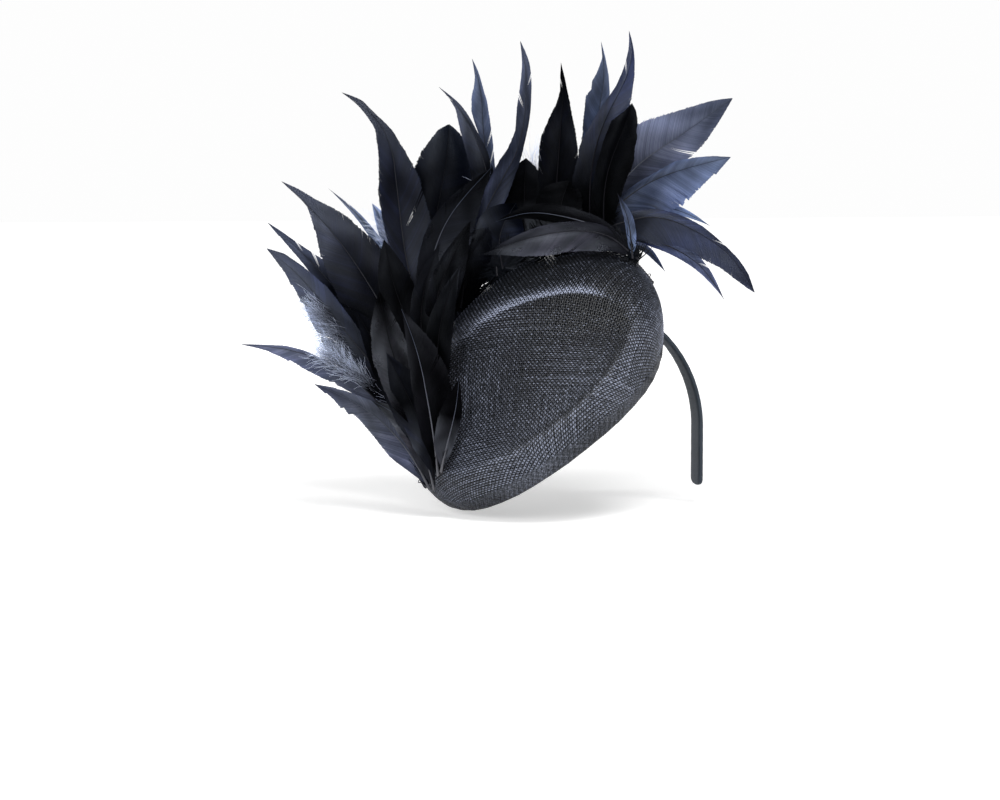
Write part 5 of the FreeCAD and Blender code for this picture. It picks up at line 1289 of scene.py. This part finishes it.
def vane_side(feather, side):
    """Vertices, UVs, shade and barb count of one side of a vane (0 first, 1 second)."""
    rand, sign = feather.rand, 1 - 2 * side
    widest = feather.outlines[side].max() if feather.outlines else feather.widths[side]
    count = max(30, int(feather.length * (1 - QUILL) / BARB_SPACING))
    root = QUILL + (1 - QUILL) * np.linspace(0, 1, count + 1) * 0.992
    # how far along the feather a barb's tip lies past its root
    lead = ((0.20 + 0.06 * (feather.peak - 0.45)) * (1 - root) ** 0.75
            * (widest * 1.9 / (feather.length * 0.20)) ** 0.35)
    lead = np.minimum(lead, (1 - root) * 0.92)
    # splits in the edge of the vane
    shift = np.zeros(count + 1)
    for _ in range(rand.integers(0, 3)):
        centre = rand.uniform(0.12, 0.93) * count
        amount = rand.uniform(0.003, 0.010)
        away = (np.arange(count + 1) - centre) / max(4.0, count * 0.05)
        shift += np.sign(away) * amount * np.exp(-np.abs(away))
    lead = np.clip(lead + shift, 0.0, (1 - root) * 0.97)

    # lines between barbs: place along the feather, and distance out from the shaft
    v = np.linspace(0, 1, BARB_STATIONS)
    place = root[:, None] + lead[:, None] * v ** 1.15
    tips = place[:, -1:]
    cut_rand = np.random.default_rng(4000 + feather.index * 2 + (sign > 0))
    width = feather.half_width(tips, side, widest) * notch(tips, feather.notches[side], cut_rand)
    out = width * v ** 0.92
    # only the barb that would span a split is left narrow
    split = np.abs(np.diff(tips[:, 0])) > 2.6 * (root[1] - root[0]) + 0.002
    ragged = (1 + rand.normal(0, 0.012, count)[:, None] * v ** 3)[..., None]
    loose = rand.uniform(0, 1, count) < 0.07
    spread = ((1.16 - np.where(loose, 0.34, 0.03)[:, None] * v ** 5)
              * np.where(split[:, None], 1 - 0.85 * v ** 0.8, 1.0))[..., None]
    lift = (rand.normal(0, 0.05, count)[:, None] * v)[..., None]

    # each barb: its two edges with the ridge between them
    def edges(lines):
        middle = ((lines[:-1] + lines[1:]) / 2)[..., None]
        return middle, middle + (np.stack([lines[:-1], middle[..., 0], lines[1:]], 2)
                                 - middle) * spread

    middle, place = edges(place)
    place = place + (ragged - 1) * (middle - ((root[:-1] + root[1:]) / 2)[:, None, None])
    out = edges(out)[1] * ragged
    share = np.clip(place, 0, 1)
    q = out / max(widest, 1.0)
    height = (-feather.cup * widest * q ** 2 + 0.10 * widest * q * (1 - q)
              + feather.wave * widest * q * np.sin(9 * share + feather.phase + sign)
              + np.array((0.0, 0.10, 0.0)) + lift)
    verts = (feather.at(share, feather.line)
             + feather.at(share, feather.left) * (sign * out)[..., None]
             + feather.at(share, feather.normal) * height[..., None])
    uv = fibre_uv(place, v[None, :, None] * 0.5 * sign + 0.5, count, BARB_STATIONS)
    # tone of each barb, varying at random, plus the painted shade of its side
    tone = (np.convolve(rand.normal(0, 0.13, count + 8), np.ones(9) / 3.0, "valid")
            + rand.normal(0, 0.07, count) + 0.1 + sign * feather.side_painted_shade)
    return verts.reshape(-1, 3), uv, np.repeat(tone, BARB_STATIONS * 3), count


def foot_barbs(feather):
    """Short barbs round the quill, dark with their own colour and with painted shade."""
    rand, dense = feather.rand, feather.dense
    low = (feather.line[0] - FACET_POINT) @ UP < 6
    count = 70 if low else 480 if dense else 120 if "sweep" in feather.name else 170
    t = np.linspace(0, 1, FOOT_STATIONS)
    share = rand.uniform(0.0, 0.14 if dense else 0.18, count)
    foot, tangent, left, normal = [
        feather.at(share, rows)[:, None]
        for rows in (feather.line, feather.tangent, feather.left, feather.normal)]
    side = rand.choice([-1.0, 1.0], count)
    splay = np.where((share < 0.07) & (not low), rand.uniform(0.5, 2.7 if dense else 2.0, count),
                     rand.uniform(0.3, 0.55 if low else 1.2, count))
    length = (rand.uniform(9, 14 if low else 18, count)
              * min(1.0, sum(feather.widths) / 18.0 + 0.25)
              * (1.0 if dense else min(1.0, feather.length / 120.0)))
    rear = rand.normal(-0.12, 0.13, count)
    turn = splay[:, None] - rand.uniform(0.2, 0.9, count)[:, None] * t ** 1.5
    step = (length / (FOOT_STATIONS - 1))[:, None, None] * (
        np.cos(turn)[..., None] * tangent + (np.sin(turn) * side[:, None])[..., None] * left
        + rear[:, None, None] * normal)
    lines = foot + np.cumsum(step, axis=1) - step[:, :1]
    half_width = ((0.6 if dense else 0.42) * (1 - 0.85 * t))[None, :, None]
    verts = fibre_verts(lines, normal, half_width, 0.08)
    uv = fibre_uv(share[:, None, None], t[None, :, None], count, FOOT_STATIONS)
    shade = np.repeat(rand.uniform(-0.15, 0.08, count), FOOT_STATIONS * 3)
    return verts.reshape(-1, 3), uv, shade, count


def vane_tint_and_painted_sheen(feather, uv):
    """Tint with painted sheen in slanting bands and a painted highlight, brighter and bluer, at the
    margins.
    """
    u, v = uv[:, 0], (uv[:, 1] - 0.5) * 2
    out = np.abs(v)
    rand = np.random.default_rng(7000 + feather.index)
    # painted sheen in slanting bands where the vane twists
    band = 0.24 * np.sin(rand.uniform(7, 13) * u + 2.6 * out + rand.uniform(0, 6.28))
    band += 0.14 * np.sin(rand.uniform(20, 34) * u + 4.5 * out + rand.uniform(0, 6.28))
    # painted highlight towards the margins, and one side painted a little lighter than the other
    painted_margin_highlight = (np.interp(out, [0, 0.12, 0.6, 1.0], [0.72, 0.86, 1.0, 1.28])
              + 0.10 * v * rand.choice([-1, 1]))
    tint = interp_rows(u, [0.25, 0.6, 0.92], feather.tints)
    tint *= np.interp(u, [0.0, 0.22], [0.45, 1.0])[:, None]
    return tint * ((1 + band) * painted_margin_highlight)[:, None] * (1 + out[:, None] * np.array((-0.03, 0.0, 0.09)))


def shaft_material(feather):
    if feather.pale:
        return M_SHAFT_PALE
    if (feather.tints.mean() < 0.42 or feather.kind == "black"
            or (feather.kind == "navy" and "top" in feather.name)):
        return M_SHAFT_BLACK
    return M_SHAFT


def build_feather(feather):
    first, second = vane_side(feather, 0), vane_side(feather, 1)
    foot = foot_barbs(feather)
    verts, uvs, shades, counts = zip(first, second, foot)
    after_first = len(verts[0])
    after_vane = after_first + len(verts[1])
    quads = np.vstack([fibre_quads(counts[0], BARB_STATIONS),
                       fibre_quads(counts[1], BARB_STATIONS, after_first)[:, ::-1],
                       fibre_quads(counts[2], FOOT_STATIONS, after_vane)])
    shaded_foot_tint = min(FOOT_TINT_SHADED[feather.kind], 0.6 * feather.tints[0].mean())
    tint = np.vstack([vane_tint_and_painted_sheen(feather, np.vstack(uvs[:2])),
                      np.full((len(verts[2]), 3), shaded_foot_tint)])
    vane = make(feather.name + "_vane", np.vstack(verts), quads, None, np.vstack(uvs),
                PLUMES[feather.kind], shade=np.concatenate(shades), tint=tint)
    radius = np.interp(LINE_SHARE, [0, 0.15, 0.6, 1.0], [0.75, 0.46, 0.19, 0.05])
    if feather.pale:
        radius = radius * 1.15
    make(feather.name + "_shaft",
         *rod(feather.line[::2] + feather.normal[::2] * 0.12, radius[::2], 7),
         shaft_material(feather))
    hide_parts(feather.name)


feathers = [Feather(i, block) for i, block in enumerate(FEATHER_TABLE.strip().split("\n\n"))]
for feather in feathers:
    build_feather(feather)

# -------------------------------------------------------------- down tufts
# Pale down at the foot of some feathers. Root line from and to, as right and up from the view
# axis at VIEW_DISTANCE; the way the down points, in degrees from right towards up; length;
# number; shift towards the camera.
TUFTS = [
    ((-107.525, 54.05), (-89.125, 21.85), 167.320, 17.25, 560, 9.0),
    ((-102.35, 27.6), (-79.35, 12.65), 142.595, 17.25, 420, 4.0),
    ((-86.25, 19.55), (-66.7, -2.3), 152.354, 14.95, 160, 3.0),
    ((-63.25, 96.6), (-54.05, 79.35), 135.0, 21.85, 220, 0.0),
    ((16.1, 128.8), (24.15, 126.5), 87.397, 26.45, 90, -6.0),
    ((-5.75, 119.6), (0.0, 117.3), 99.462, 21.85, 40, -6.0),
]
TUFT_STATIONS = 8
TUFT_ROOT_BACK, TUFT_ROOT_SIDE = 9.2, 1.725  # scatter of the roots along and across the way


def nearest_depth(spot):
    """Depth towards the camera of the feather point seen nearest to a spot in the view."""
    points = np.vstack([feather.path for feather in feathers])
    rel = points - CAMERA
    seen = np.stack([rel @ RIGHT, rel @ UP], -1) / -(rel @ TO_CAMERA)[:, None] * VIEW_DISTANCE
    return points[np.argmin(np.linalg.norm(seen - spot, axis=1))] @ TO_CAMERA


def on_view(spot, depth):
    """Point seen at a spot in the view, at a depth."""
    reach = CAMERA @ TO_CAMERA - depth
    return CAMERA + (RIGHT * spot[0] + UP * spot[1]) * (reach / VIEW_DISTANCE) - TO_CAMERA * reach


def down_tuft(index, root_from, root_to, degrees, length, count, toward):
    rand = np.random.default_rng(900 + index)
    root_from, root_to = np.array(root_from), np.array(root_to)
    depth = nearest_depth((root_from + root_to) / 2) + toward
    way = np.array((math.cos(math.radians(degrees)), math.sin(math.radians(degrees))))
    cross = np.array((way[1], -way[0]))
    t = np.linspace(0, 1, TUFT_STATIONS)
    lines = []
    for _ in range(count):
        splay = rand.normal(0, 0.30)
        step = length * rand.uniform(0.45, 1.1) / (TUFT_STATIONS - 1)
        turn = splay + rand.normal(0, 0.55) * t ** 1.3
        spot = (root_from + (root_to - root_from) * rand.uniform(0, 1)
                - way * rand.uniform(0, TUFT_ROOT_BACK) + cross * rand.normal(0, TUFT_ROOT_SIDE))
        fibre_depth = depth + rand.normal(0, 0.8)
        line = []
        for j in range(TUFT_STATIONS):
            line.append(on_view(spot, fibre_depth + 1.2 * t[j] * rand.normal(0, 0.6)))
            spot = spot + (way * math.cos(turn[j]) + cross * math.sin(turn[j])) * step
        lines.append(line)
    half_width = (0.10 * (1 - 0.6 * t))[None, :, None]
    verts = fibre_verts(np.array(lines), TO_CAMERA, half_width, 0.05)
    uv = fibre_uv(t[None, :, None], rand.uniform(0, 1, (count, 1, 1)), count, TUFT_STATIONS)
    bright = np.interp(uv[:, 0], [0, 0.35, 0.8], [0.12, 0.65, 1.5])
    make("down_tuft_%d" % (index + 1), verts, fibre_quads(count, TUFT_STATIONS), None, uv, M_DOWN,
         shade=np.full(len(uv), 0.1), tint=np.repeat(bright[:, None], 3, 1))


for i, tuft in enumerate(TUFTS):
    down_tuft(i, *tuft)

# ------------------------------------------------- CAD pieces kept as built
for node, mat in (("edge_wire", M_WIRE), ("edge_wire_end_sleeves", M_STEEL),
                  ("feather_tie_threads", M_STITCH), ("band_tacks", M_STITCH),
                  ("headband_core_centre", M_STEEL), ("headband_core_left_arm", M_STEEL)):
    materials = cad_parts[node].data.materials
    materials.clear()
    materials.append(mat)


# ----------------------------------------- floor and light, in metres
def studio_floor():
    floor_z = min(cad_box[0][2], -0.036) - 0.003
    bpy.ops.mesh.primitive_grid_add(x_subdivisions=8, y_subdivisions=8, size=14.0,
                                    location=(0, 0, floor_z))
    floor = bpy.context.object
    floor.name = "studio_floor"
    shader = Shader("studio_floor_paint")
    mottle = shader.noise(shader.mapped("Object"), 3.0, 2.0)
    shader.put(Base_Color=shader.ramp(mottle, [(0.3, (0.86, 0.86, 0.86)), (0.7, (0.9, 0.9, 0.895))]),
               Roughness=0.9, Specular_IOR_Level=0.1, Emission_Color=(1, 1, 1, 1))
    # seen from the camera, the floor glows brighter away from the hat
    camera_ray = shader.add("LightPath").outputs["Is Camera Ray"]
    distance = shader.add("VectorMath", {0: shader.add("TexCoord").outputs["Object"]},
                          operation="LENGTH").outputs["Value"]
    glow = shader.add("MapRange", {"From Min": 0.3, "From Max": 2.6, "To Min": 0.34,
                                   "To Max": 0.92, "Value": distance}).outputs["Result"]
    shader.put(Emission_Strength=shader.math("MULTIPLY", camera_ray, glow))
    floor.data.materials.append(shader.material)


def studio_world():
    """Soft light all round; the camera sees near white."""
    world = bpy.data.worlds.new("studio_world")
    bpy.context.scene.world = world
    world.use_nodes = True
    nodes, links = world.node_tree.nodes, world.node_tree.links
    lighting = nodes["Background"]
    lighting.inputs["Color"].default_value = (1.0, 1.0, 1.0, 1)
    lighting.inputs["Strength"].default_value = 0.30
    seen = nodes.new("ShaderNodeBackground")
    seen.inputs["Color"].default_value = (0.985, 0.985, 0.985, 1)
    seen.inputs["Strength"].default_value = 1.0
    ray = nodes.new("ShaderNodeLightPath")
    pick = nodes.new("ShaderNodeMixShader")
    links.new(ray.outputs["Is Camera Ray"], pick.inputs["Fac"])
    links.new(lighting.outputs["Background"], pick.inputs[1])
    links.new(seen.outputs["Background"], pick.inputs[2])
    links.new(pick.outputs["Shader"], nodes["World Output"].inputs["Surface"])


def area_light(name, location, target, size, watts):
    light = bpy.data.lights.new(name, "AREA")
    light.shape = "RECTANGLE"
    light.size, light.size_y = size
    light.energy = watts
    obj = bpy.data.objects.new(name, light)
    obj.location = location
    aim = Vector(target) - Vector(location)
    obj.rotation_euler = aim.to_track_quat("-Z", "Y").to_euler()
    bpy.context.scene.collection.objects.link(obj)


def photo_camera():
    camera = bpy.data.cameras.new("photo_camera")
    camera.sensor_width = 36.0
    camera.lens = camera.sensor_width * VIEW_DISTANCE / VIEW_WIDTH
    camera.clip_start, camera.clip_end = 0.05, 50
    obj = bpy.data.objects.new("photo_camera", camera)
    rows = [(*row, 1) if row is None else tuple(row)
            for row in np.stack([RIGHT, UP, TO_CAMERA, CAMERA / 1000], -1)]
    obj.matrix_world = Matrix((*rows, (0, 0, 0, 1)))
    bpy.context.scene.collection.objects.link(obj)
    bpy.context.scene.camera = obj


studio_floor()
studio_world()
for name, location, target, size, watts in (
        ("left_light", (-1.6, -1.7, 0.9), (-0.03, 0, 0.06), (1.0, 1.2), 40),
        ("right_light", (1.6, -1.5, 0.2), (0.0, 0, 0.0), (0.9, 1.1), 22),
        ("top_light", (0.1, -1.1, 1.8), (-0.03, 0, 0.08), (0.9, 0.6), 26),
        ("back_light", (-0.2, 1.9, 0.5), (-0.03, 0, 0.1), (1.8, 1.2), 15)):
    area_light(name, location, target, size, watts)
photo_camera()
bpy.context.scene.view_settings.view_transform = "Standard"

bpy.context.view_layer.update()
